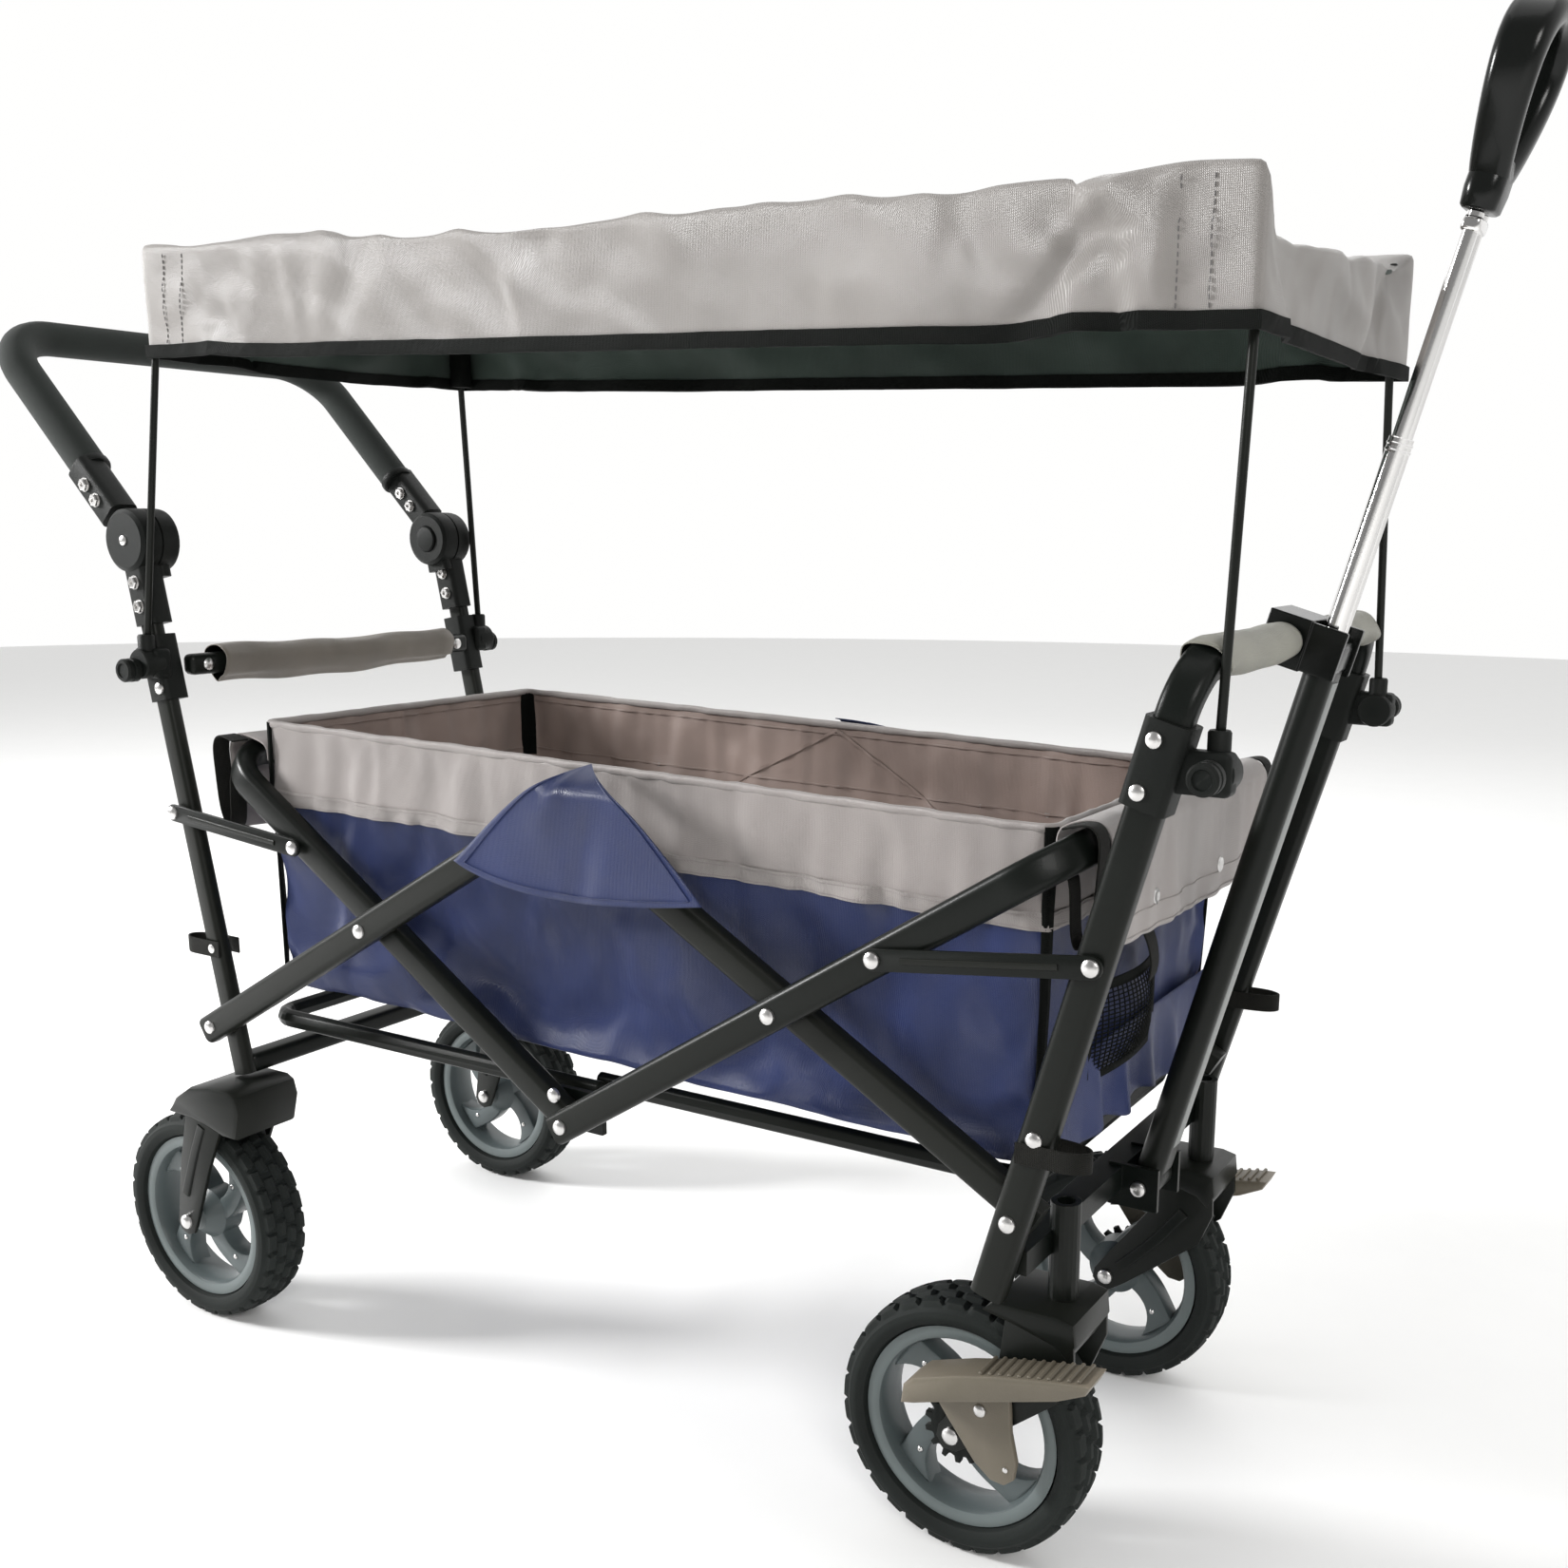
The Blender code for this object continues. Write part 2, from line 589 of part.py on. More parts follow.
def make_handle():
    hinge = pivot("handle_axis", at(HANDLE_PIVOT))
    turn = tilt(HANDLE_RUN)
    upright = turn @ Matrix.Rotation(math.pi / 2, 4, "Y")
    length = HANDLE_TUBE_END - 0.014
    middle = 0.014 + length / 2
    sleeve = box(along_handle(middle), (length, 0.036, 0.0215), turn, 0.006)
    foot = box(along_handle(0.006), (0.034, 0.0370, 0.0180), turn)
    round_foot = cylinder(at(HANDLE_PIVOT), 0.0110, 0.0370, sides=20)
    foot_cut = box(along_handle(-0.006), (0.012, 0.05, 0.04), turn)
    cut(foot, [foot_cut])
    combine(sleeve, [foot, round_foot])
    bore = box(along_handle(0.060 + 0.25), (0.5, 0.0290, 0.0150), turn)
    pin_hole = cylinder(at(HANDLE_PIVOT), 0.0046, 0.06, sides=12)
    cut(sleeve, [bore, pin_hole])
    finish(sleeve, "handle_tube", FRAME, hinge)
    lower_axis = pivot("handle_lower_axis", along_handle(LOWER_STAGE[0]))
    make_twin("handle_stage_lower", LOWER_STAGE, 0.0068, 0.0058, upright, lower_axis)
    upper_axis = pivot("handle_upper_axis", along_handle(UPPER_STAGE[0]))
    make_twin("handle_stage_upper", UPPER_STAGE, 0.0054, 0.0, upright, upper_axis)
    make_grip(upper_axis)


def make_twin(name, span, radius, bore, turn, parent):
    """Two chrome tubes side by side, up the handle; a bore lets the next stage slide in."""
    length = span[1] - span[0]
    rods = []
    for sign in (-1, 1):
        rod = cylinder(along_handle(sum(span) / 2, sign * TWIN_Y), radius, length, "Z", 16)
        rod.matrix_world = Matrix.Translation(rod.location) @ turn
        rods.append(rod)
    body = rods[0]
    others = [rods[1]]
    if not bore:
        others.append(box(along_handle(span[1] - 0.006), (0.012, 0.014, 0.008), tilt(HANDLE_RUN)))
    combine(body, others)
    if bore:
        holes = []
        for sign in (-1, 1):
            hole = cylinder(along_handle(sum(span) / 2, sign * TWIN_Y), bore, 0.4, "Z", 16)
            hole.matrix_world = Matrix.Translation(hole.location) @ turn
            holes.append(hole)
        cut(body, holes)
    finish(body, name, CHROME, parent)


def grip_point(share):
    """Point of the grip's teardrop loop: X up the handle, Y across."""
    angle = 2 * math.pi * share
    height = GRIP_END - 0.012 - UPPER_STAGE[1] - 0.022
    up = UPPER_STAGE[1] + 0.022 + height * (1 - math.cos(angle)) / 2
    width = 0.044 * math.sin(angle) * (0.78 - 0.34 * math.cos(angle))
    return Vector((up, width))


def make_grip(parent):
    """Teardrop loop on a neck that caps the twin tubes."""
    count = 24
    points = [grip_point(index / count) for index in range(count)]
    loop = tube(points, 0.0085, handle_plane(), flat=1.9, closed=True)
    start = UPPER_STAGE[1] + GAP
    neck_end = UPPER_STAGE[1] + 0.032
    neck = box(along_handle((start + neck_end) / 2), (neck_end - start, 0.034, 0.024),
               tilt(HANDLE_RUN), 0.004)
    combine(loop, [neck])
    finish(loop, "handle_grip", PLASTIC, parent)


# ---- scissors --------------------------------------------------------------------------------
def make_scissor_frame(name, foot, cross, top_x, y, parent):
    """U-tube from the wagon's lower middle, through the crossing, to the bar at its end."""
    run = cross - foot
    top = foot + run * ((top_x - foot.x) / run.x)
    overrun = run.normalized() * 0.011
    start = foot - overrun
    place = Matrix.Translation(at(start)) @ tilt(run)
    length = (top - start).length
    corners = [(0, -y), (length, -y), (length, y), (0, y)]
    frame = tube(rounded(corners, 0.042), TUBE_T / 2, place, TUBE_H / TUBE_T)
    finish(frame, name, FRAME, parent)


def make_link(name, start, end, y, parent):
    """Short pressed link with round ends, from the frame to a scissor tube."""
    plate = bar(start, end, y, 0.013, 0.005, 0.006, 0.0015)
    finish(plate, name, FRAME, parent)


def make_floor_frame(name, hinge, reach, cross_at, y, parent):
    """Half of the folding floor: two rails to the middle and a cross tube near the hinge."""
    place = Matrix.Translation(at(hinge))
    corners = [(reach, -y), (cross_at, -y), (cross_at, y), (reach, y)]
    frame = tube(rounded(corners, 0.020), 0.007, place, 1.25)
    finish(frame, name, FRAME, parent)


def make_middle_bracket(parent):
    """Cross tube under the floor with a plate at each end, pinned to the scissor feet."""
    tube_place = at((0.0476, 0.2710))
    cross = cylinder(tube_place, 0.0075, 0.344, sides=14)
    plates = []
    for sign in SIDES.values():
        plates.append(box(at((0.0476, 0.2800), sign * 0.1732), (0.046, 0.005, 0.034)))
    combine(cross, plates)
    finish(cross, "middle_bracket", FRAME, parent)


def make_scissors():
    """Pieces of the side scissors, each parented to the empty on its own pivot."""
    braces = pivot("fold_axis", at(REAR_FOOT))
    rear_tube = pivot("rear_scissor_axis", at(REAR_CROSS))
    front_braces = pivot("front_brace_axis", at(BRACE_TOP))
    front_tube = pivot("front_scissor_axis", at(FRONT_CROSS))
    middle = pivot("middle_bracket_axis", at(REAR_SCISSOR_FOOT))
    rear_link = pivot("rear_link_axis", at(REAR_LINK_FRAME))
    front_link = pivot("front_link_axis", at(FRONT_LINK_FRAME))
    for side, sign in SIDES.items():
        rear = bar(REAR_FOOT, BRACE_TOP, sign * OUTER_Y, overrun=0.012)
        finish(rear, f"rear_brace_{side}", FRAME, braces)
        front = bar(BRACE_TOP, FRONT_FOOT, sign * INNER_Y, overrun=0.012)
        finish(front, f"front_brace_{side}", FRAME, front_braces)
        make_link(f"rear_link_{side}", REAR_LINK_FRAME, REAR_LINK_TUBE, sign * 0.2000, rear_link)
        make_link(f"front_link_{side}", FRONT_LINK_FRAME, FRONT_LINK_TUBE, sign * 0.2180, front_link)
    make_scissor_frame("rear_scissor_frame", REAR_SCISSOR_FOOT, REAR_CROSS, REAR_SCISSOR_TOP_X,
                       INNER_Y, rear_tube)
    make_scissor_frame("front_scissor_frame", FRONT_SCISSOR_FOOT, FRONT_CROSS,
                       FRONT_SCISSOR_TOP_X, OUTER_Y, front_tube)
    make_middle_bracket(middle)


def make_floor():
    rear = pivot("rear_floor_axis", at(FLOOR_REAR))
    front = pivot("front_floor_axis", at(FLOOR_FRONT))
    half = (FLOOR_FRONT.x - FLOOR_REAR.x) / 2 + 0.008
    make_floor_frame("rear_floor_frame", FLOOR_REAR, half, 0.014, 0.158, rear)
    make_floor_frame("front_floor_frame", FLOOR_FRONT, -half, -0.014, 0.140, front)


# ---- soft goods ------------------------------------------------------------------------------
def open_box(name, span_x, half_y, span_z, open_top, wall, material, parent=None):
    """Five walls of a box, open at its top or bottom, with the wall's thickness inside."""
    centre = at((sum(span_x) / 2, sum(span_z) / 2))
    size = (span_x[1] - span_x[0], 2 * half_y, span_z[1] - span_z[0])
    obj = box(centre, size)
    form = bmesh.new()
    form.from_mesh(obj.data)
    opening = 1 if open_top else -1
    faces = [face for face in form.faces if face.normal.z * opening > 0.5]
    bmesh.ops.delete(form, geom=faces, context="FACES")
    form.to_mesh(obj.data)
    form.free()
    shell = obj.modifiers.new("wall", "SOLIDIFY")
    shell.thickness = wall
    shell.offset = -1
    shell.use_even_offset = True
    return finish(obj, name, material, parent, smooth=False)


def make_rod(end, side, low, high, parent):
    """Thin canopy rod from its socket up into the canopy's corner pocket."""
    sign = SIDES[side]
    start = Vector((low[0] + MID_X, sign * low[1], low[2]))
    stop = Vector((high[0] + MID_X, sign * high[1], high[2]))
    run = stop - start
    rod = cylinder((start + stop) / 2, ROD_R, run.length, "Z", 10)
    turn = run.to_track_quat("Z", "Y").to_matrix().to_4x4()
    rod.matrix_world = Matrix.Translation((start + stop) / 2) @ turn
    finish(rod, f"{end}_rod_{side}", FRAME, parent)


# ---- assembly --------------------------------------------------------------------------------
def make_all():
    make_rear_frame()
    make_grab_bar()
    make_push_bar()
    make_scissors()
    make_floor()
    front = pivot("front_frame_axis", at(FRONT_FOOT))
    make_front_frame(front)
    make_handle_clip(front)
    make_front_cross_bar(front)
    make_handle()
    for side, sign in SIDES.items():
        make_rear_fork(side)
        hub = at((-HUB_X, WHEEL_R), sign * REAR_WHEEL_Y)
        make_wheel("rear", side, hub, pivot(f"rear_wheel_{side}_axis", hub))
        make_caster(side, front)
        rear_rod = Vector(REAR_ROD[0])
        make_clamp("rear", side, None, 0.583, 0.640, INNER_Y, upright_x, rear_rod,
                   (rear_rod.x - 0.004, 0.612))
        front_rod = Vector(FRONT_ROD[0])
        make_clamp("front", side, front, 0.580, 0.634, OUTER_Y, leg_x, front_rod,
                   (front_rod.x + 0.002, 0.604))
        make_rod("rear", side, *REAR_ROD, None)
        make_rod("front", side, *FRONT_ROD, front)
    open_box("tub", TUB_X, TUB_Y, TUB_Z, True, 0.003, NAVY)
    open_box("canopy", CANOPY_X, CANOPY_Y, CANOPY_Z, False, 0.0025, GREY)


make_all()
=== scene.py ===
import math

import bmesh
import bpy
from mathutils import Matrix, Vector, noise


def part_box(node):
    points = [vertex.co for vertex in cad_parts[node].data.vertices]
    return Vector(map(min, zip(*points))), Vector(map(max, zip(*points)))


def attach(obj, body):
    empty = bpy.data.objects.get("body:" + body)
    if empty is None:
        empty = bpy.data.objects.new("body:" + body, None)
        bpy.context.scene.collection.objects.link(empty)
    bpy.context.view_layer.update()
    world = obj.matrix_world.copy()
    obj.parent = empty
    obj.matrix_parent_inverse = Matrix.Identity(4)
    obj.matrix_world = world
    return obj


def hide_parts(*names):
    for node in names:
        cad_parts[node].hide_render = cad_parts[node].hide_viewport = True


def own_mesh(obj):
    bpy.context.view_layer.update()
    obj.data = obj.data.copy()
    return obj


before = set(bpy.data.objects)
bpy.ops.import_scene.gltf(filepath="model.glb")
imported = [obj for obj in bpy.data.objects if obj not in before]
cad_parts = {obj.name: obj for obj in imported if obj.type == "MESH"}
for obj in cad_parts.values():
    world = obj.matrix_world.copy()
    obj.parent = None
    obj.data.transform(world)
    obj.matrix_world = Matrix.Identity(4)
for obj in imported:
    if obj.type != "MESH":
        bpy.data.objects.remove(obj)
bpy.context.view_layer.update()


# ---- driving dimensions, metres; X positions are measured from the wheelbase middle ----------
def centre_of(node):
    low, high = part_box(node)
    return (low + high) / 2


MID_X = (centre_of("rear_tyre_left").x + centre_of("front_tyre_left").x) / 2
WHEEL_R = centre_of("rear_tyre_left").z
HUB_X = centre_of("front_tyre_left").x - MID_X
REAR_WHEEL_Y = centre_of("rear_tyre_left").y
FRONT_WHEEL_Y = centre_of("front_tyre_left").y
TUBE_H = 0.025
TUBE_T = 0.018
INNER_Y = 0.186
UPRIGHT_DEEP = 0.0205
UPRIGHT_THICK = 0.0130
OUTER_Y = 0.2055
SIDES = {"right": -1, "left": 1}

REAR_FOOT = Vector((-0.352, 0.2925))
FRONT_FOOT = Vector((0.447, 0.2925))
BRACE_TOP = Vector((0.0475, 0.5265))
REAR_CROSS = (REAR_FOOT + BRACE_TOP) / 2
FRONT_CROSS = Vector((0.256, 0.4044))
REAR_SCISSOR_FOOT = Vector((0.0352, 0.2835))
FRONT_SCISSOR_FOOT = Vector((0.0600, 0.2810))
REAR_SCISSOR_TOP_X = -0.343
FRONT_SCISSOR_TOP_X = 0.476
REAR_LINK_FRAME = Vector((-0.398, 0.483))
REAR_LINK_TUBE = Vector((-0.2431, 0.4680))
FRONT_LINK_FRAME = Vector((0.5013, 0.478))
FRONT_LINK_TUBE = Vector((0.344, 0.4598))
UPRIGHT_FOOT = Vector((-0.3413, 0.2432))
ADJUSTER = Vector((-0.4385, 0.7236))
ADJUSTER_R = 0.028
PUSH_TURN = math.radians(135)
PUSH_REACH = 0.262
PUSH_Y = 0.182
GRAB_BAR = Vector((-0.402, 0.614))
LEG_SLOPE = 0.282
LEG_FOOT_Z = 0.236
TOP_BAR_Z = 0.672
STEM_X = 0.460
HANDLE_PIVOT = Vector((0.468, 0.252))
HANDLE_RUN = Vector((0.270, 1.0)).normalized()
TWIN_Y = 0.0066
TUB_X = (-0.310, 0.452)
CANOPY_X = (-0.402, 0.576)


def at(point, y=0.0):
    """World place of a side-view point (x from the wheelbase middle, z)."""
    return Vector((point[0] + MID_X, y, point[1]))


def tilt(direction):
    """Turn about Y that lays local X along a side-view direction."""
    return Matrix.Rotation(-math.atan2(direction[1], direction[0]), 4, "Y")


def place(point, y=0.0, turn=Matrix.Identity(4)):
    return Matrix.Translation(at(point, y)) @ turn


SIDEWAYS = Matrix.Rotation(math.pi / 2, 4, "X")        # local X forward, Y up, Z to the right
FORWARD = Matrix.Rotation(math.pi / 2, 4, "Y")         # local Z along X
ACROSS = Matrix.Rotation(math.pi / 2, 4, "Z")          # local X across the wagon


def turned_out(sign):
    """Turn that lays local Z along Y, towards the side with this sign."""
    return Matrix.Rotation(-sign * math.pi / 2, 4, "X")


def link_object(name, data):
    """A new object with this data, in the scene."""
    obj = bpy.data.objects.new(name, data)
    bpy.context.scene.collection.objects.link(obj)
    return obj


# ---- materials -------------------------------------------------------------------------------
def add_node(tree, kind, **values):
    """A shader node with its inputs set; an underscore in a name stands for a space."""
    node = tree.nodes.new(f"ShaderNode{kind}")
    for name, value in values.items():
        node.inputs[name.replace("_", " ")].default_value = value
    return node


def set_stops(ramp, positions, colours):
    """Place and colour the two stops of a colour ramp."""
    for stop, position, colour in zip(ramp.color_ramp.elements, positions, colours):
        stop.position = position
        stop.color = colour


def material(name, colour, roughness, metallic=0.0, grain=0.0, grain_scale=900.0, mottle_and_shade=0.12,
             mottle_and_shade_scale=14.0, rough_spread=0.08, coat=0.0, sheen=0.0, weave=0.0, wear=None,
             specular=0.5, crease=0.0, crease_scale=8.0):
    """Principled material: mottled colour and roughness, a fine grain, and a weave and creases on cloth. On
    the canopy and grey cloths the broad colour mottle is painted wrinkle shade and sheen.
    """
    made = bpy.data.materials.new(name)
    made.use_nodes = True
    tree = made.node_tree
    links = tree.links
    shader = tree.nodes["Principled BSDF"]
    for name, value in {"Metallic": metallic, "Specular IOR Level": specular, "Coat Weight": coat,
                        "Sheen Weight": sheen, "Sheen Roughness": 0.45}.items():
        shader.inputs[name].default_value = value
    spot = tree.nodes.new("ShaderNodeTexCoord").outputs["Object"]
    # Broad colour noise: random tone on most finishes, and painted wrinkle shade and sheen on the canopy and
    # grey cloths
    mottle_and_shade_noise = add_node(tree, "TexNoise", Scale=mottle_and_shade_scale, Detail=5.0)
    links.new(spot, mottle_and_shade_noise.inputs["Vector"])
    ramp = add_node(tree, "ValToRGB")
    set_stops(ramp, (0.3, 0.7), ((*[c * (1 - mottle_and_shade) for c in colour], 1),
                                 (*[min(1, c * (1 + mottle_and_shade)) for c in colour], 1)))
    links.new(mottle_and_shade_noise.outputs["Fac"], ramp.inputs["Fac"])
    colour_out = ramp.outputs["Color"]
    if wear:
        colour_out = add_edge_wear(tree, colour_out, wear)
    links.new(colour_out, shader.inputs["Base Color"])
    spread = add_node(tree, "MapRange", To_Min=max(0.02, roughness - rough_spread),
                      To_Max=min(1.0, roughness + rough_spread))
    links.new(mottle_and_shade_noise.outputs["Fac"], spread.inputs["Value"])
    links.new(spread.outputs["Result"], shader.inputs["Roughness"])
    if weave:
        height = add_weave(tree, spot)
    elif grain:
        fine = add_node(tree, "TexNoise", Scale=grain_scale, Detail=3.0)
        links.new(spot, fine.inputs["Vector"])
        height = fine.outputs["Fac"]
    else:
        return made
    bump = add_node(tree, "Bump", Strength=weave or grain, Distance=0.0004)
    links.new(height, bump.inputs["Height"])
    if crease:
        links.new(add_creases(tree, spot, crease, crease_scale), bump.inputs["Normal"])
    links.new(bump.outputs["Normal"], shader.inputs["Normal"])
    return made


def add_edge_wear(tree, colour_out, wear):
    """A lighter colour along the sharp edges."""
    geometry = add_node(tree, "NewGeometry")
    edge = add_node(tree, "ValToRGB")
    set_stops(edge, (0.52, 0.60), ((0, 0, 0, 1), (1, 1, 1, 1)))
    tree.links.new(geometry.outputs["Pointiness"], edge.inputs["Fac"])
    mix = tree.nodes.new("ShaderNodeMix")
    mix.data_type = "RGBA"
    mix.inputs["B"].default_value = (*wear, 1)
    tree.links.new(edge.outputs["Color"], mix.inputs["Factor"])
    tree.links.new(colour_out, mix.inputs["A"])
    return mix.outputs["Result"]


def add_creases(tree, spot, strength, scale):
    """Long soft folds with a few sharper ridges, as bump."""
    stretch = add_node(tree, "Mapping", Rotation=(0.0, 0.6, 0.35), Scale=(1.0, 1.3, 0.42))
    tree.links.new(spot, stretch.inputs["Vector"])
    ridges = tree.nodes.new("ShaderNodeTexNoise")
    ridges.noise_type = "RIDGED_MULTIFRACTAL"
    for name, value in {"Scale": scale, "Detail": 2.2, "Roughness": 0.42, "Distortion": 0.5}.items():
        ridges.inputs[name].default_value = value
    tree.links.new(stretch.outputs["Vector"], ridges.inputs["Vector"])
    fold = add_node(tree, "Bump", Strength=strength, Distance=0.012)
    tree.links.new(ridges.outputs["Fac"], fold.inputs["Height"])
    return fold.outputs["Normal"]


def add_weave(tree, spot):
    """Height of crossing threads: two sets of bands on the diagonals, so every side shows them."""
    threads_per_metre = 5200.0
    cross = tree.nodes.new("ShaderNodeMath")
    cross.operation = "MAXIMUM"
    for index, direction in enumerate(((1, 1, 0), (1, -1, 1))):
        dot = tree.nodes.new("ShaderNodeVectorMath")
        dot.operation = "DOT_PRODUCT"
        dot.inputs[1].default_value = direction
        tree.links.new(spot, dot.inputs[0])
        scaled = tree.nodes.new("ShaderNodeMath")
        scaled.operation = "MULTIPLY"
        scaled.inputs[1].default_value = threads_per_metre
        tree.links.new(dot.outputs["Value"], scaled.inputs[0])
        wave = tree.nodes.new("ShaderNodeMath")
        wave.operation = "SINE"
        tree.links.new(scaled.outputs["Value"], wave.inputs[0])
        tree.links.new(wave.outputs["Value"], cross.inputs[index])
    return cross.outputs["Value"]


POWDER = material("powder_coat", (0.0036, 0.0050, 0.0042), 0.34, grain=0.25, grain_scale=1400, coat=0.02,
                  mottle_and_shade=0.2, wear=(0.010, 0.011, 0.009), specular=0.15)
PLASTIC = material("moulded_black", (0.0046, 0.0060, 0.0052), 0.46, grain=0.5, grain_scale=2200,
                   specular=0.12, wear=(0.010, 0.011, 0.010))
GLOSSY = material("gloss_black", (0.0050, 0.0058, 0.0052), 0.22, grain=0.1, coat=0.06, specular=0.22)
FOAM = material("grip_foam", (0.014, 0.0175, 0.0155), 0.88, grain=1.0, grain_scale=1600, sheen=0.06,
                specular=0.3)
CHROME = material("chrome_plate", (0.80, 0.79, 0.78), 0.13, metallic=1.0, mottle_and_shade=0.05, grain=0.05)
ZINC = material("bright_rivet", (0.62, 0.61, 0.60), 0.30, metallic=1.0, grain=0.2, mottle_and_shade=0.08)
RUBBER = material("tyre_black", (0.011, 0.0135, 0.0125), 0.68, grain=0.8, grain_scale=1200, mottle_and_shade=0.3,
                  wear=(0.024, 0.026, 0.024), specular=0.16)
RIM = material("rim_plastic", (0.068, 0.084, 0.086), 0.36, grain=0.35, grain_scale=1500, specular=0.4)
RIM_LIP = material("rim_lip", (0.105, 0.126, 0.126), 0.38, grain=0.35, grain_scale=1500, specular=0.4)
PEDAL = material("pedal_plastic", (0.102, 0.090, 0.066), 0.46, grain=0.5, mottle_and_shade=0.2, specular=0.35,
                 wear=(0.18, 0.155, 0.12))
NAVY = material("navy_cloth", (0.0095, 0.0190, 0.0820), 0.38, sheen=0.03, weave=0.45, mottle_and_shade=0.25,
                mottle_and_shade_scale=9, specular=0.42, crease=1.1, crease_scale=12)
# Grey cloth of the band and panels: its broad colour mottle is painted wrinkle shade and sheen
GREY = material("grey_cloth", (0.300, 0.272, 0.262), 0.40, sheen=0.2, weave=0.45, mottle_and_shade=0.10,
                mottle_and_shade_scale=8, specular=0.5, crease=1.1, crease_scale=14)
SEAM = material("seam_cloth", (0.36, 0.33, 0.318), 0.6, sheen=0.2, weave=0.8, mottle_and_shade=0.14,
                mottle_and_shade_scale=60, specular=0.3)
# Canopy cloth: its broad colour mottle is painted wrinkle shade and sheen
CANOPY_TOP = material("canopy_cloth", (0.235, 0.220, 0.208), 0.40, sheen=0.1, weave=0.45, mottle_and_shade=0.08,
                      mottle_and_shade_scale=7, specular=0.5, crease=1.1, crease_scale=13)
# Dark green-grey for the canopy's underside: painted shade of the canopy's inside
CANOPY_UNDERSIDE_SHADE = material("canopy_underside_shade", (0.038, 0.056, 0.046), 0.55, sheen=0.1, weave=0.6, mottle_and_shade=0.25,
                        specular=0.3, crease=0.5, crease_scale=8)
TAUPE = material("taupe_lining", (0.275, 0.210, 0.185), 0.40, sheen=0.12, weave=0.45, mottle_and_shade=0.18,
                 mottle_and_shade_scale=10, specular=0.5, crease=1.2, crease_scale=14)
SLEEVE = material("sleeve_cloth", (0.165, 0.145, 0.120), 0.5, sheen=0.2, weave=0.6, mottle_and_shade=0.2,
                  mottle_and_shade_scale=18, specular=0.35, crease=0.6, crease_scale=16)
TOP_SLEEVE = material("top_sleeve_cloth", (0.235, 0.230, 0.190), 0.45, sheen=0.2, weave=0.6, mottle_and_shade=0.15,
                      mottle_and_shade_scale=18, specular=0.4, crease=0.6, crease_scale=16)
BINDING = material("black_binding", (0.0040, 0.0052, 0.0042), 0.7, sheen=0.0, weave=1.0, mottle_and_shade=0.2,
                   specular=0.10)
WEBBING = material("webbing", (0.009, 0.009, 0.007), 0.65, sheen=0.02, weave=1.0, mottle_and_shade=0.25,
                   mottle_and_shade_scale=90, specular=0.15)
STRIPE = material("grey_stripe", (0.17, 0.18, 0.175), 0.4, grain=0.2)
THREAD = material("thread", (0.10, 0.095, 0.095), 0.8, grain=0.6)


# ---- shapes ----------------------------------------------------------------------------------
def rounded_rect(width, height, radius, steps=4):
    """Outline of a rectangle with round corners, anticlockwise."""
    points = []
    for corner in range(4):
        sx = 1 if corner in (0, 3) else -1
        sy = 1 if corner < 2 else -1
        for step in range(steps + 1):
            angle = math.pi / 2 * (corner + step / steps)
            points.append((sx * (width / 2 - radius) + radius * math.cos(angle),
                           sy * (height / 2 - radius) + radius * math.sin(angle)))
    return points


def circle(radius, steps=16, stretch=1.0):
    turns = [2 * math.pi * step / steps for step in range(steps)]
    return [(radius * math.cos(turn), radius * stretch * math.sin(turn)) for turn in turns]


def rounded(corners, radius, steps=8, closed=False):
    """Path through the corners with each inner corner rounded by an arc."""
    corners = [Vector(corner) for corner in corners]
    count = len(corners)
    points = []
    for index, corner in enumerate(corners):
        if not closed and index in (0, count - 1):
            points.append(corner)
            continue
        a = (corners[index - 1] - corner).normalized()
        b = (corners[(index + 1) % count] - corner).normalized()
        half = a.angle(b) / 2
        if half > math.pi / 2 - 0.001:
            continue
        centre = corner + (a + b).normalized() * (radius / math.sin(half))
        first = corner + a * (radius / math.tan(half)) - centre
        last = corner + b * (radius / math.tan(half)) - centre
        for step in range(steps + 1):
            points.append(centre + first.lerp(last, step / steps).normalized() * radius)
    return points


def smooth_path(points, per_span=8, closed=False):
    """Catmull-Rom curve through the points."""
    points = [Vector(point) for point in points]
    count = len(points)
    spans = count if closed else count - 1
    result = []
    for span in range(spans):
        if closed:
            p0, p1, p2, p3 = (points[(span + shift) % count] for shift in (-1, 0, 1, 2))
        else:
            p0, p1, p2, p3 = (points[min(max(span + shift, 0), count - 1)] for shift in (-1, 0, 1, 2))
        for step in range(per_span):
            t = step / per_span
            result.append(0.5 * (2 * p1 + (p2 - p0) * t + (2 * p0 - 5 * p1 + 4 * p2 - p3) * t * t
                                 + (3 * p1 - p0 - 3 * p2 + p3) * t ** 3))
    if not closed:
        result.append(points[-1])
    return result


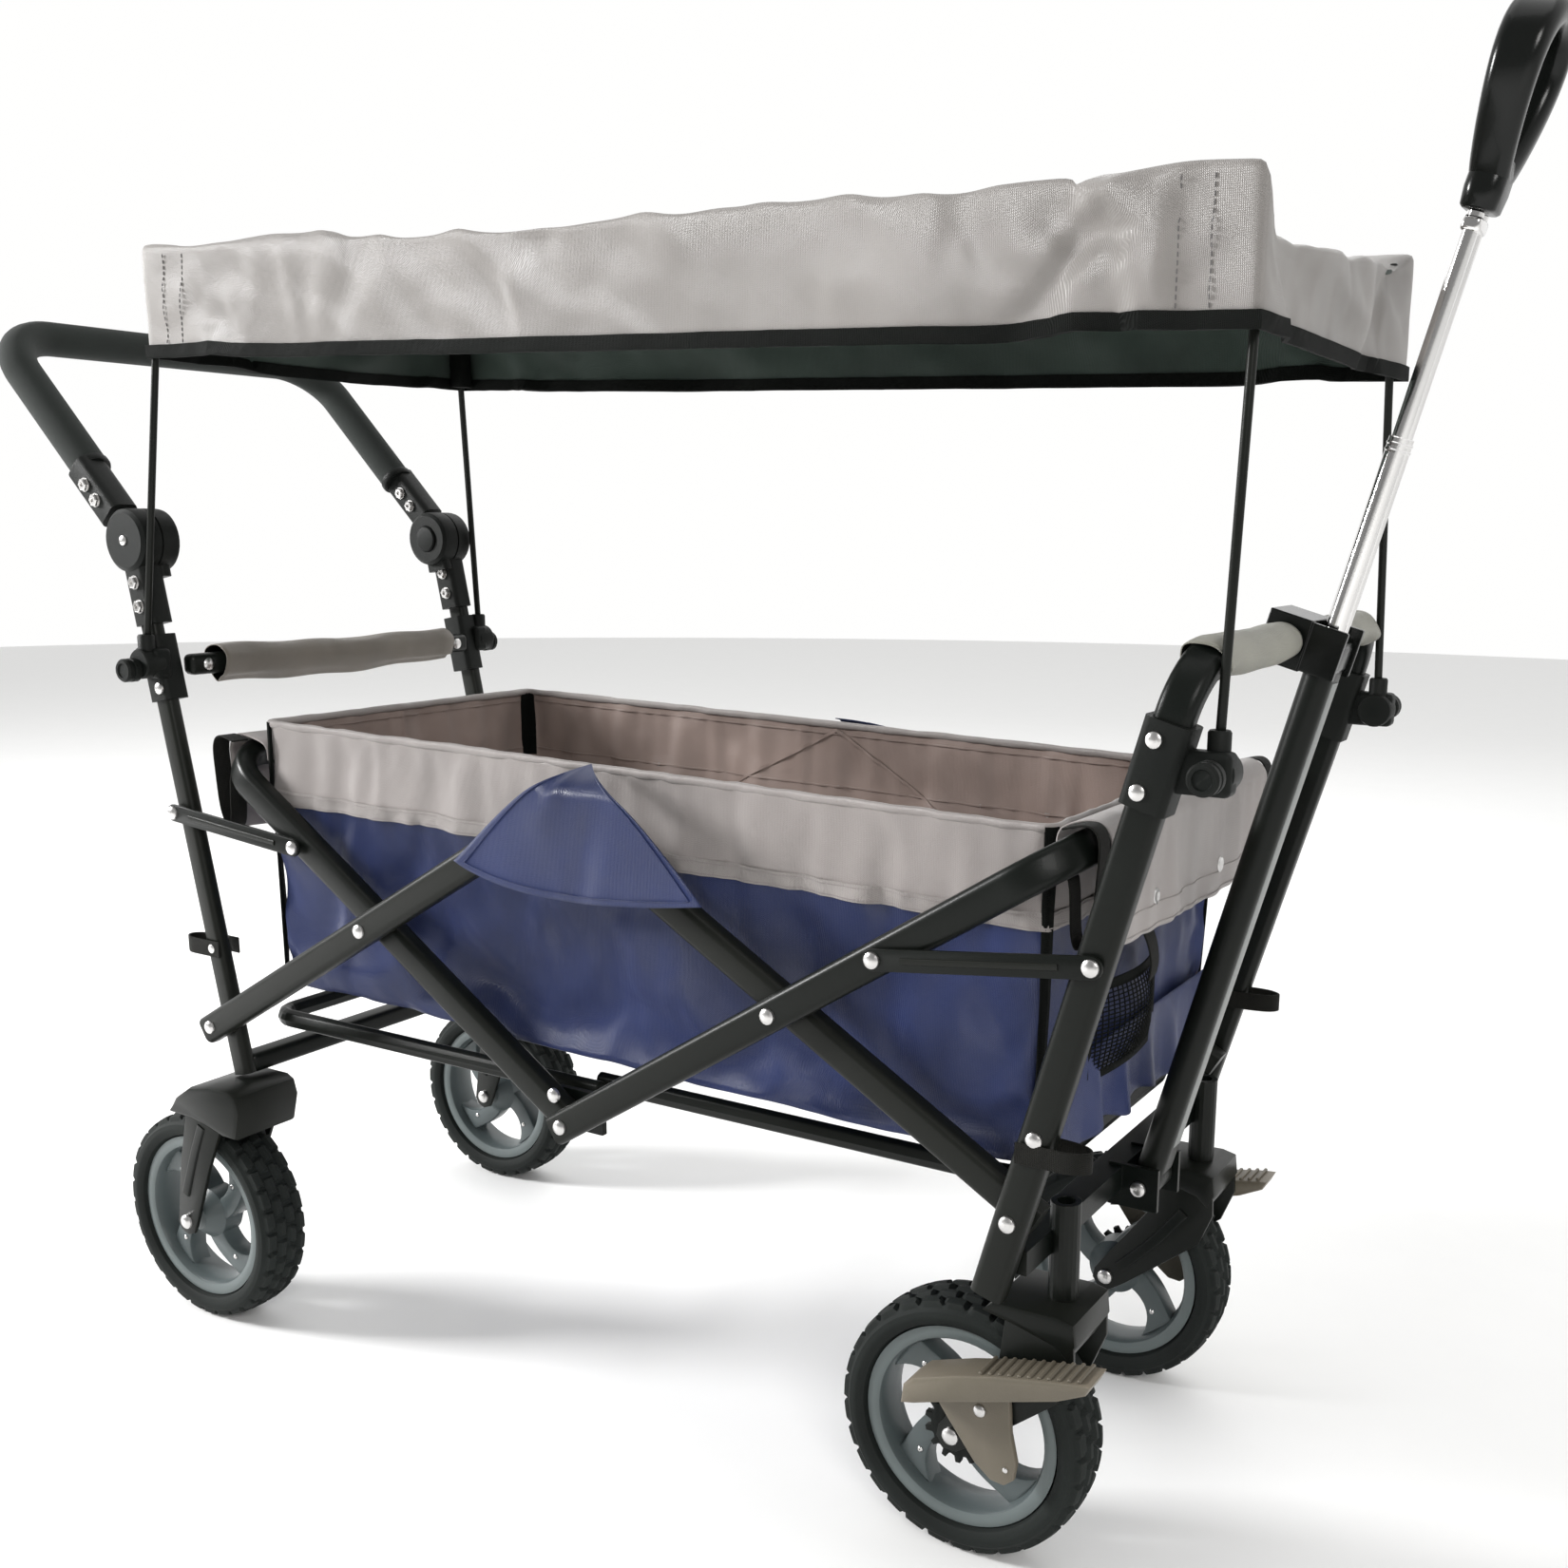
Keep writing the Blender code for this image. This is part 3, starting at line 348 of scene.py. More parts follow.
class Form:
    """Several solids gathered into one mesh."""

    def __init__(self):
        self.verts = []
        self.faces = []
        self.slots = []

    def add(self, verts, faces, where=Matrix.Identity(4), slot=0):
        base = len(self.verts)
        self.verts += [where @ Vector(vert) for vert in verts]
        self.faces += [[base + index for index in face] for face in faces]
        self.slots += [slot] * len(faces)
        return self

    def rings(self, rings, closed=False, caps=True, where=Matrix.Identity(4), slot=0):
        """Skin a list of equal closed rings."""
        size = len(rings[0])
        verts = [vert for ring in rings for vert in ring]
        faces = []
        for row in range(len(rings) if closed else len(rings) - 1):
            a = row * size
            b = (row + 1) % len(rings) * size
            for index in range(size):
                nxt = (index + 1) % size
                faces.append((a + index, a + nxt, b + nxt, b + index))
        if caps and not closed:
            faces.append(list(range(size - 1, -1, -1)))
            faces.append(list(range((len(rings) - 1) * size, len(rings) * size)))
        return self.add(verts, faces, where, slot)

    def sweep(self, path, section, normal=(0, 1, 0), where=Matrix.Identity(4), slot=0):
        """Carry a section along a path that lies in a plane with this normal."""
        path = [Vector(point) for point in path]
        normal = Vector(normal).normalized()
        count = len(path)
        rings = []
        for index, point in enumerate(path):
            before = path[max(index - 1, 0)]
            after = path[min(index + 1, count - 1)]
            side = (after - before).normalized().cross(normal).normalized()
            rings.append([point + side * u + normal * v for u, v in section])
        return self.rings(rings, where=where, slot=slot)

    def lathe(self, profile, where, steps=32, slot=0):
        """Turn a profile of (radius, height) about local Z."""
        rings = []
        for radius, height in profile:
            radius = max(radius, 0.00002)
            rings.append([(radius * math.cos(turn), radius * math.sin(turn), height)
                          for turn in (2 * math.pi * step / steps for step in range(steps))])
        return self.rings(rings, where=where, slot=slot)

    def block(self, size, where, radius=0.002, slot=0):
        """A box with rounded edges, its length along local X."""
        length, width, height = size
        rings = []
        steps = 3
        stations = [(-length / 2 + radius * (1 - math.cos(turn)), radius * (1 - math.sin(turn)))
                    for turn in (math.pi / 2 * step / steps for step in range(steps + 1))]
        stations += [(-x, inset) for x, inset in reversed(stations)]
        for x, inset in stations:
            section = rounded_rect(width - 2 * inset, height - 2 * inset,
                                   max(radius - inset, 0.0002) + 0.0003)
            rings.append([(x, y, z) for y, z in section])
        return self.rings(rings, where=where, slot=slot)

    def plate(self, outline, thick, where, edge=0.001, slot=0):
        """A flat plate from an outline in local XY, with its edges rounded over."""
        outline = [Vector(point) for point in outline]
        count = len(outline)
        area = sum(outline[i - 1].x * outline[i].y - outline[i].x * outline[i - 1].y
                   for i in range(count))
        sign = 1 if area > 0 else -1
        inward = []
        for index, point in enumerate(outline):
            run = (outline[(index + 1) % count] - outline[index - 1]).normalized()
            inward.append(Vector((-run.y, run.x)) * sign)
        rings = []
        for height, inset in ((-thick / 2, edge), (-thick / 2 + edge * 0.3, edge * 0.3),
                              (-thick / 2 + edge, 0), (thick / 2 - edge, 0),
                              (thick / 2 - edge * 0.3, edge * 0.3), (thick / 2, edge)):
            rings.append([(*(point + normal * inset), height)
                          for point, normal in zip(outline, inward)])
        return self.rings(rings, where=where, slot=slot)

    def make(self, name, materials, body, record_slot, replaced=(), angle=35):
        mesh = bpy.data.meshes.new(name)
        mesh.from_pydata([tuple(vert) for vert in self.verts], [], self.faces)
        mesh.validate()
        form = bmesh.new()
        form.from_mesh(mesh)
        bmesh.ops.remove_doubles(form, verts=form.verts, dist=0.000005)
        bmesh.ops.recalc_face_normals(form, faces=form.faces)
        form.to_mesh(mesh)
        form.free()
        return make_piece(name, mesh, materials, body, replaced, angle, self.slots)


def make_piece(name, mesh, materials, body, replaced=(), angle=35, slots=()):
    """An object on its body, with its materials, and its CAD stand-in hidden."""
    obj = link_object(name, mesh)
    for each in materials if isinstance(materials, (list, tuple)) else [materials]:
        mesh.materials.append(each)
    if len(slots) == len(mesh.polygons):
        mesh.polygons.foreach_set("material_index", slots)
    mesh.shade_smooth()
    if angle:
        mesh.set_sharp_from_angle(angle=math.radians(angle))
    if body:
        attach(obj, body)
    if replaced:
        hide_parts(*replaced)
    return obj


# ---- frame tubes -----------------------------------------------------------------------------
TUBE = rounded_rect(TUBE_H, TUBE_T, 0.006)
TUBE_UPRIGHT = rounded_rect(TUBE_T, TUBE_H, 0.006)


def straight_tube(start, end, y):
    """A flat-sided tube in the side view, which runs a little past both of its pivots."""
    beyond = (end - start).normalized() * 0.012
    return Form().sweep([at(start - beyond, y), at(end + beyond, y)], TUBE)


def bent_tube(start, end, half_y, radius):
    """U-tube: two legs from start to end, and the bar that joins them across the wagon."""
    run = end - start
    corners = [(0, -half_y), (run.length, -half_y), (run.length, half_y), (0, half_y)]
    path = [(point.x, point.y, 0) for point in rounded(corners, radius, 10)]
    return Form().sweep(path, TUBE_UPRIGHT, (0, 0, 1), where=place(start, 0, tilt(run)))


def upright_x(z):
    share = (z - UPRIGHT_FOOT.y) / (ADJUSTER.y - UPRIGHT_FOOT.y)
    return UPRIGHT_FOOT.x + share * (ADJUSTER.x - UPRIGHT_FOOT.x)


def leg_x(z):
    return FRONT_FOOT.x + LEG_SLOPE * (z - FRONT_FOOT.y)


LEG_FOOT = Vector((leg_x(LEG_FOOT_Z), LEG_FOOT_Z))
TOP_BAR = Vector((leg_x(TOP_BAR_Z), TOP_BAR_Z))


def scissor_top(foot, cross, top_x):
    run = cross - foot
    return foot + run * ((top_x - foot.x) / run.x)


REAR_SCISSOR_TOP = scissor_top(REAR_SCISSOR_FOOT, REAR_CROSS, REAR_SCISSOR_TOP_X)
FRONT_SCISSOR_TOP = scissor_top(FRONT_SCISSOR_FOOT, FRONT_CROSS, FRONT_SCISSOR_TOP_X)


def make_tubes():
    rear = Form()
    slim = rounded_rect(UPRIGHT_DEEP, UPRIGHT_THICK, 0.005)
    for sign in SIDES.values():
        y = sign * (INNER_Y + (TUBE_T - UPRIGHT_THICK) / 2)
        rear.sweep([at(UPRIGHT_FOOT, y), at((upright_x(0.683), 0.683), y)], slim)
    rear.block((2 * INNER_Y, 0.022, TUBE_T),
               place((upright_x(0.252), 0.252), 0, ACROSS), 0.005)
    rear.make("rear_frame_tubes", POWDER, "rear_frame", "frame_black", ["rear_frame"])
    for side, sign in SIDES.items():
        straight_tube(REAR_FOOT, BRACE_TOP, sign * OUTER_Y).make(
            f"rear_brace_tube_{side}", POWDER, "braces", "frame_black", [f"rear_brace_{side}"])
        straight_tube(BRACE_TOP, FRONT_FOOT, sign * INNER_Y).make(
            f"front_brace_tube_{side}", POWDER, "front_braces", "frame_black", [f"front_brace_{side}"])
        make_link(f"rear_link_{side}", REAR_LINK_FRAME, REAR_LINK_TUBE, sign, 0.2000, "rear_links")
        make_link(f"front_link_{side}", FRONT_LINK_FRAME, FRONT_LINK_TUBE, sign, 0.2180, "front_links")
    for end, foot, top, y in (("rear", REAR_SCISSOR_FOOT, REAR_SCISSOR_TOP, INNER_Y),
                              ("front", FRONT_SCISSOR_FOOT, FRONT_SCISSOR_TOP, OUTER_Y)):
        run = (top - foot).normalized()
        bent_tube(foot - run * 0.011, top, y, 0.044).make(
            f"{end}_scissor_tube", POWDER, f"{end}_scissor", "frame_black", [f"{end}_scissor_frame"])
    front = bent_tube(LEG_FOOT, TOP_BAR, OUTER_Y, 0.038)
    front.make("front_frame_tube", POWDER, "front_frame", "frame_black", ["front_frame"])


def make_link(name, start, end, sign, y, body):
    """Pressed steel strip with round ends and a rib along its middle."""
    run = end - start
    half = 0.0078
    length = run.length
    outline = []
    for centre_x, from_turn in ((length, -90), (0, 90)):
        for step in range(9):
            turn = math.radians(from_turn + 180 * step / 8)
            outline.append((centre_x + half * math.cos(turn), half * math.sin(turn)))
    lie = place(start, sign * y, tilt(run) @ SIDEWAYS)
    form = Form().plate(outline, 0.0030, lie, 0.0008)
    rib = rounded_rect(0.0046, 0.0034, 0.0012)
    path = [(length * 0.14, 0, -0.0010 * sign), (length * 0.86, 0, -0.0010 * sign)]
    form.sweep(path, rib, (0, 0, 1), where=lie)
    form.make(f"{name}_strip", POWDER, body, "frame_black", [name])


# ---- rivets and bolts ------------------------------------------------------------------------
def rivet(form, point, y, outward, radius=0.0062, height=0.0032):
    """Domed head on a side face; outward is the sign of Y it faces."""
    profile = [(radius, -0.0006), (radius * 0.98, 0.0004)]
    for step in range(1, 5):
        turn = math.radians(90 * step / 4)
        profile.append((radius * math.cos(turn), 0.0004 + (height - 0.0004) * math.sin(turn)))
    form.lathe(profile, place(point, y, turned_out(outward)), 16)


def make_rivets():
    """Silver heads at every crossing, on the body that the outer tube belongs to."""
    outer = OUTER_Y + TUBE_T / 2
    inner = INNER_Y + TUBE_T / 2
    foot_pair = [REAR_SCISSOR_FOOT + Vector((-0.001, 0.006)), REAR_SCISSOR_FOOT + Vector((0.024, -0.002))]
    heads = {
        "braces": [(REAR_FOOT, outer), (REAR_CROSS, outer)],
        "front_scissor": [(FRONT_CROSS, outer), (FRONT_SCISSOR_FOOT, outer)],
        "front_frame": [(FRONT_FOOT, outer), (Vector((leg_x(0.355), 0.355)), outer)],
        "rear_frame": [(Vector((upright_x(0.36), 0.36)), inner)],
        "rear_links": [(REAR_LINK_FRAME, 0.2016), (REAR_LINK_TUBE, 0.2016)],
        "front_links": [(FRONT_LINK_FRAME, 0.2196), (FRONT_LINK_TUBE, 0.2196)],
        "middle_bracket": [(foot_pair[0] + Vector((0.004, 0.008)), 0.1957)],
    }
    for body, points in heads.items():
        form = Form()
        for sign in SIDES.values():
            for point, y in points:
                rivet(form, point, sign * y, sign)
        form.make(f"{body}_rivets", ZINC, body, "chrome")


# ---- wheels ----------------------------------------------------------------------------------
def tyre_profile_point(share):
    """Half-width and radius across the tyre, from one bead over the tread to the other."""
    outline = [(-0.0160, 0.0783), (-0.0215, 0.0800), (-0.0238, 0.0860), (-0.0232, 0.0905),
               (-0.0195, 0.0945), (-0.0120, 0.0962), (0.0, 0.0968)]
    outline += [(-height, radius) for height, radius in reversed(outline[:-1])]
    position = share * (len(outline) - 1)
    index = min(int(position), len(outline) - 2)
    a = Vector(outline[index])
    return a.lerp(Vector(outline[index + 1]), position - index)


def make_tyre_mesh():
    """Lugs across both shoulders, staggered, with a zigzag of blocks along the middle."""
    steps = 320
    across = 40
    lugs = 30
    form = Form()
    rings = []
    for step in range(steps):
        turn = 2 * math.pi * step / steps
        ring = []
        for index in range(across + 1):
            share = index / across
            height, radius = tyre_profile_point(share)
            side = 0.5 if height > 0 else 0.0
            slant = abs(height) * 9.0
            phase = (turn * lugs / (2 * math.pi) + side + slant) % 1.0
            on_lug = 1.0 if phase < 0.80 else 0.0
            if abs(height) < 0.0022:
                on_lug = 0.0
            elif abs(height) < 0.0090:
                phase = (turn * lugs / (2 * math.pi) + side + 0.5 + slant) % 1.0
                on_lug = 1.0 if phase < 0.72 else 0.0
            if 0.0090 < abs(height) < 0.0108:
                on_lug = 0.0
            lift = 0.0032 if radius > 0.0935 else 0.0
            radius += lift * on_lug
            ring.append((radius * math.cos(turn), radius * math.sin(turn), height))
        for height, radius in ((0.0130, 0.0779), (-0.0130, 0.0779)):
            ring.append((radius * math.cos(turn), radius * math.sin(turn), height))
        rings.append(ring)
    form.rings(rings, closed=True, caps=False)
    return form


def add_hoop(form, profile, slot=0):
    """A closed profile of (radius, height) carried once round the wheel's axis."""
    turns = [2 * math.pi * step / 72 for step in range(72)]
    form.rings([[(r * math.cos(turn), r * math.sin(turn), h) for r, h in profile] for turn in turns],
               closed=True, caps=False, slot=slot)


def make_rim_form(gear):
    """Outer band with a bright lip, four swept spokes, a hub and its cap screws."""
    form = Form()
    band = [(0.0775, -0.0175), (0.0775, 0.0175), (0.0745, 0.0180), (0.0705, 0.0176), (0.0680, 0.0168),
            (0.0668, 0.0150), (0.0655, 0.0085), (0.0640, 0.0), (0.0655, -0.0085), (0.0668, -0.0150),
            (0.0680, -0.0168), (0.0705, -0.0176), (0.0745, -0.0180)]
    add_hoop(form, band)
    lip = [(0.0776, 0.0178), (0.0745, 0.0184), (0.0705, 0.0180), (0.0682, 0.0170), (0.0700, 0.0166),
           (0.0776, 0.0166)]
    for flip in (1, -1):
        add_hoop(form, [(radius, height * flip) for radius, height in lip], slot=1)
    for quarter in range(4):
        turn = Matrix.Rotation(math.radians(20 + 90 * quarter), 4, "Z")
        form.plate(spoke_outline(), 0.0190, turn, 0.0022)
        spot = turn @ Matrix.Translation((0.050 * math.cos(0.40), 0.050 * math.sin(0.40), 0))
        for flip in (0, math.pi):
            screw = spot @ Matrix.Rotation(flip, 4, "X") @ Matrix.Translation((0, 0, 0.0088))
            form.lathe([(0.0022, 0), (0.0022, 0.0012), (0.0015, 0.0018), (0.0006, 0.0018),
                        (0.0004, 0.0010)], screw, 12, slot=2)
    hub = [(0.0062, -0.0215), (0.0120, -0.0215), (0.0150, -0.0190), (0.0215, -0.0120), (0.0240, -0.0095),
           (0.0240, 0.0095), (0.0215, 0.0120), (0.0150, 0.0190), (0.0120, 0.0215), (0.0062, 0.0215)]
    form.lathe(hub, Matrix.Identity(4), 40)
    if gear:
        teeth = 14
        outline = []
        for tooth in range(teeth):
            for share, radius in ((0.0, 0.0215), (0.30, 0.0222), (0.42, 0.0270), (0.72, 0.0270),
                                  (0.86, 0.0222)):
                angle = 2 * math.pi * (tooth + share) / teeth
                outline.append((radius * math.cos(angle), radius * math.sin(angle)))
        form.plate(outline, 0.0056, Matrix.Translation((0, 0, 0.0186)), 0.0006, slot=3)
    return form


def spoke_outline():
    """One wide spoke that sweeps round and flares as it meets the band."""
    left = []
    right = []
    for step in range(15):
        share = step / 14
        radius = 0.016 + (0.0710 - 0.016) * share
        drift = 0.62 * share ** 1.3
        half = 0.0105 - 0.0012 * math.sin(math.pi * share) + 0.0110 * share ** 5
        spread = half / radius
        left.append((radius * math.cos(drift - spread * 1.15), radius * math.sin(drift - spread * 1.15)))
        right.append((radius * math.cos(drift + spread), radius * math.sin(drift + spread)))
    return left + right[::-1]


def make_wheels():
    """Four tyres that share one mesh, and rims that share one mesh at each end."""
    shared = {}
    for end, hub_x, wheel_y in (("rear", -HUB_X, REAR_WHEEL_Y), ("front", HUB_X, FRONT_WHEEL_Y)):
        for side, sign in SIDES.items():
            where = place((hub_x, WHEEL_R), sign * wheel_y, turned_out(sign))
            tyre = shared_piece(shared, "tyre", f"{end}_tyre_tread_{side}", lambda: make_tyre_mesh().make(
                "tyre", RUBBER, None, "tyre_rubber", angle=28))
            rim = shared_piece(shared, end, f"{end}_rim_casting_{side}", lambda: make_rim_form(
                end == "front").make("rim", [RIM, RIM_LIP, ZINC, PLASTIC], None, "rim_grey"))
            for piece, node, slot in ((tyre, "tyre", "tyre_rubber"), (rim, "rim", "rim_grey")):
                piece.matrix_world = where
                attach(piece, f"{end}_wheel_{side}")
                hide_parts(f"{end}_{node}_{side}")


def shared_piece(shared, key, name, build):
    """The first piece of a kind is built, and the next ones take its mesh."""
    if key in shared:
        return link_object(name, shared[key])
    piece = build()
    shared[key] = piece.data
    piece.name = name
    return piece


# ---- forks, casters and pedals ---------------------------------------------------------------
def add_fork_arm(form, outline, rib, y, outward):
    """A pressed arm plate with a raised rib along its outer face."""
    form.plate(outline, 0.0040, place((0, 0), y, SIDEWAYS), 0.0010)
    form.sweep([at(point, y + outward * 0.0012) for point in smooth_path(rib, 5)],
               rounded_rect(0.010, 0.0044, 0.0018))


def make_rear_fork(side, sign):
    """Pressed hood over the wheel's front, and two tapered arms down to the axle bolt."""
    hub = Vector((-HUB_X, WHEEL_R))
    form = Form()
    hood = [(-0.402, 0.206), (-0.392, 0.222), (-0.372, 0.235), (-0.345, 0.2405), (-0.318, 0.2405),
            (-0.309, 0.236), (-0.305, 0.222), (-0.312, 0.196), (-0.330, 0.196), (-0.345, 0.200),
            (-0.372, 0.205)]
    form.plate(hood, 0.068, place((0, 0), sign * REAR_WHEEL_Y, SIDEWAYS), 0.004)
    arm = [(hub.x - 0.0125, hub.y - 0.003), (hub.x - 0.009, hub.y - 0.010), (hub.x, hub.y - 0.0135),
           (hub.x + 0.009, hub.y - 0.010), (hub.x + 0.0125, hub.y - 0.003), (-0.352, 0.160),
           (-0.331, 0.205), (-0.378, 0.212), (-0.392, 0.160)]
    for inside in (-1, 1):
        add_fork_arm(form, arm, [(hub.x + 0.002, 0.128), (-0.372, 0.168), (-0.358, 0.200)],
                     sign * REAR_WHEEL_Y + inside * 0.031, inside)
    form.make(f"rear_fork_pressing_{side}", POWDER, "rear_frame", "frame_black", [f"rear_fork_{side}"])
    bolts = Form()
    for inside in (-1, 1):
        rivet(bolts, hub, sign * REAR_WHEEL_Y + inside * 0.0330, inside, 0.0072, 0.0042)
    bolts.make(f"rear_axle_bolt_{side}", ZINC, "rear_frame", "chrome")


def make_caster(side, sign):
    """Crown channel under the socket, arms down to the hub, kingpin and axle bolt."""
    hub = Vector((HUB_X, WHEEL_R))
    y = sign * FRONT_WHEEL_Y
    form = Form()
    crown = [(0.412, 0.2050), (0.420, 0.2138), (0.470, 0.2150), (0.482, 0.2120), (0.484, 0.196),
             (0.478, 0.184), (0.468, 0.192), (0.440, 0.1995)]
    form.plate(crown, 0.0650, place((0, 0), y, SIDEWAYS), 0.003)
    arm = [(hub.x - 0.0105, hub.y + 0.006), (hub.x - 0.012, hub.y - 0.003), (hub.x - 0.006, hub.y - 0.0115),
           (hub.x + 0.004, hub.y - 0.0120), (0.408, 0.098), (0.445, 0.128), (0.472, 0.150),
           (0.483, 0.178), (0.482, 0.200), (0.430, 0.203), (0.426, 0.170)]
    for inside in (-1, 1):
        add_fork_arm(form, arm, [(0.402, 0.112), (0.432, 0.143), (0.458, 0.176)],
                     y + inside * 0.0295, inside)
    form.lathe([(0.0105, 0.2140), (0.0105, 0.2160), (0.0056, 0.2160), (0.0056, 0.2800), (0.0045, 0.2815)],
               Matrix.Translation((STEM_X + MID_X, y, 0)), 20)
    form.make(f"caster_fork_pressing_{side}", POWDER, f"caster_{side}", "frame_black",
              [f"caster_fork_{side}"])
    bolts = Form()
    for inside in (-1, 1):
        rivet(bolts, hub, y + inside * 0.0315, inside, 0.0070, 0.0040)
    bolts.make(f"caster_bolts_{side}", ZINC, f"caster_{side}", "chrome")


def make_pedal(side, sign):
    """Sloping tread with cross ribs on its front half, and the cam plate that it turns."""
    y = sign * (FRONT_WHEEL_Y + 0.0495)
    form = Form()
    tread = [(0.3655, 0.1360), (0.3670, 0.1500), (0.3760, 0.1585), (0.4100, 0.1700), (0.4400, 0.1780),
             (0.4800, 0.1860), (0.5000, 0.1895), (0.5090, 0.1900), (0.5050, 0.1820), (0.4850, 0.1720),
             (0.4400, 0.1580), (0.4000, 0.1460), (0.3760, 0.1380)]
    form.plate(tread, 0.0300, place((0, 0), y, SIDEWAYS), 0.0022)
    ribs = 11
    for index in range(ribs):
        share = index / (ribs - 1)
        point = Vector((0.427, 0.1755)).lerp(Vector((0.500, 0.1905)), share)
        form.block((0.0265, 0.0030, 0.0026), place(point, y, ACROSS), 0.0009)
    cam = [(0.3740, 0.1400), (0.3900, 0.1180), (0.4120, 0.0900), (0.4250, 0.0800), (0.4360, 0.0790),
           (0.4430, 0.0850), (0.4450, 0.0980), (0.4400, 0.1200), (0.4380, 0.1500), (0.4100, 0.1600)]
    cam_y = sign * (FRONT_WHEEL_Y + 0.0355)
    form.plate(cam, 0.0060, place((0, 0), cam_y, SIDEWAYS), 0.0014)
    form.make(f"brake_pedal_moulding_{side}", PEDAL, f"brake_pedal_{side}", "pedal_brown",
              [f"brake_pedal_{side}"])
    bolt = Form()
    rivet(bolt, (0.416, 0.132), cam_y + sign * 0.0030, sign, 0.0050, 0.0030)
    rivet(bolt, (0.437, 0.092), cam_y + sign * 0.0030, sign, 0.0022, 0.0012)
    bolt.make(f"brake_pedal_screw_{side}", ZINC, f"brake_pedal_{side}", "chrome")


# ---- rear frame fittings ---------------------------------------------------------------------
def make_clamp(end, side, sign, body, low_z, high_z, tube_y, centre_x, rod_x, rod_y, rod_z):
    """T-shaped clamp: a sleeve on the tube, an arm with a rod socket, two rivets and a round knob."""
    low = Vector((centre_x(low_z), low_z))
    high = Vector((centre_x(high_z), high_z))
    form = Form()
    run = high - low
    outer = rounded_rect(0.031 if end == "front" else 0.0265, 0.0265 if end == "front" else 0.0235, 0.005)
    form.sweep([at(low, sign * tube_y), at(low + run * 0.5, sign * tube_y), at(high, sign * tube_y)], outer)
    arm_z = rod_z - 0.011
    reach = rod_x - centre_x(arm_z)
    middle = (centre_x(arm_z) + rod_x) / 2
    form.block((abs(reach) + 0.024, 0.017, 0.027),
               place((middle, arm_z), sign * ((rod_y + tube_y) / 2 + 0.002)), 0.004)
    drum = [(0.0030, -0.0095), (0.0125, -0.0095), (0.0132, -0.0080), (0.0132, 0.0085), (0.0122, 0.0098),
            (0.0030, 0.0098)]
    form.lathe(drum, place((rod_x, arm_z), sign * rod_y, turned_out(sign)), 24)
    form.lathe([(0.0072, -0.006), (0.0072, 0.014), (0.0062, 0.0155), (0.0034, 0.0155), (0.0034, 0.004)],
               place((rod_x, rod_z - 0.001), sign * rod_y), 20)
    form.make(f"{end}_clamp_moulding_{side}", PLASTIC, body, "black_plastic", [f"{end}_clamp_{side}"])
    heads = Form()
    face = sign * (tube_y + (0.0265 if end == "front" else 0.0235) / 2)
    for share in (0.20, 0.80):
        rivet(heads, low.lerp(high, share) - Vector((0.0045 * (1 if end == "front" else -1), 0)),
              face, sign, 0.0055, 0.0026)
    heads.make(f"{end}_clamp_rivets_{side}", ZINC, body, "chrome")
    low_corner, high_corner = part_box(f"{end}_knob_{side}")
    middle = (low_corner + high_corner) / 2
    width = high_corner.y - low_corner.y
    radius = (high_corner.x - low_corner.x) / 2
    knob = [(0.0030, -width / 2), (radius * 0.86, -width / 2), (radius, -width * 0.40),
            (radius, -width * 0.06), (radius * 0.90, 0.0), (radius * 0.90, width * 0.06),
            (radius * 0.98, width * 0.12), (radius * 0.98, width * 0.38), (radius * 0.84, width * 0.5),
            (radius * 0.62, width * 0.5), (radius * 0.55, width * 0.42), (0.0003, width * 0.42)]
    turned = Form().lathe(knob, Matrix.Translation(middle) @ turned_out(sign), 28)
    turned.make(f"{end}_knob_turning_{side}", PLASTIC, f"{end}_knob_{side}", "black_plastic",
                [f"{end}_knob_{side}"])


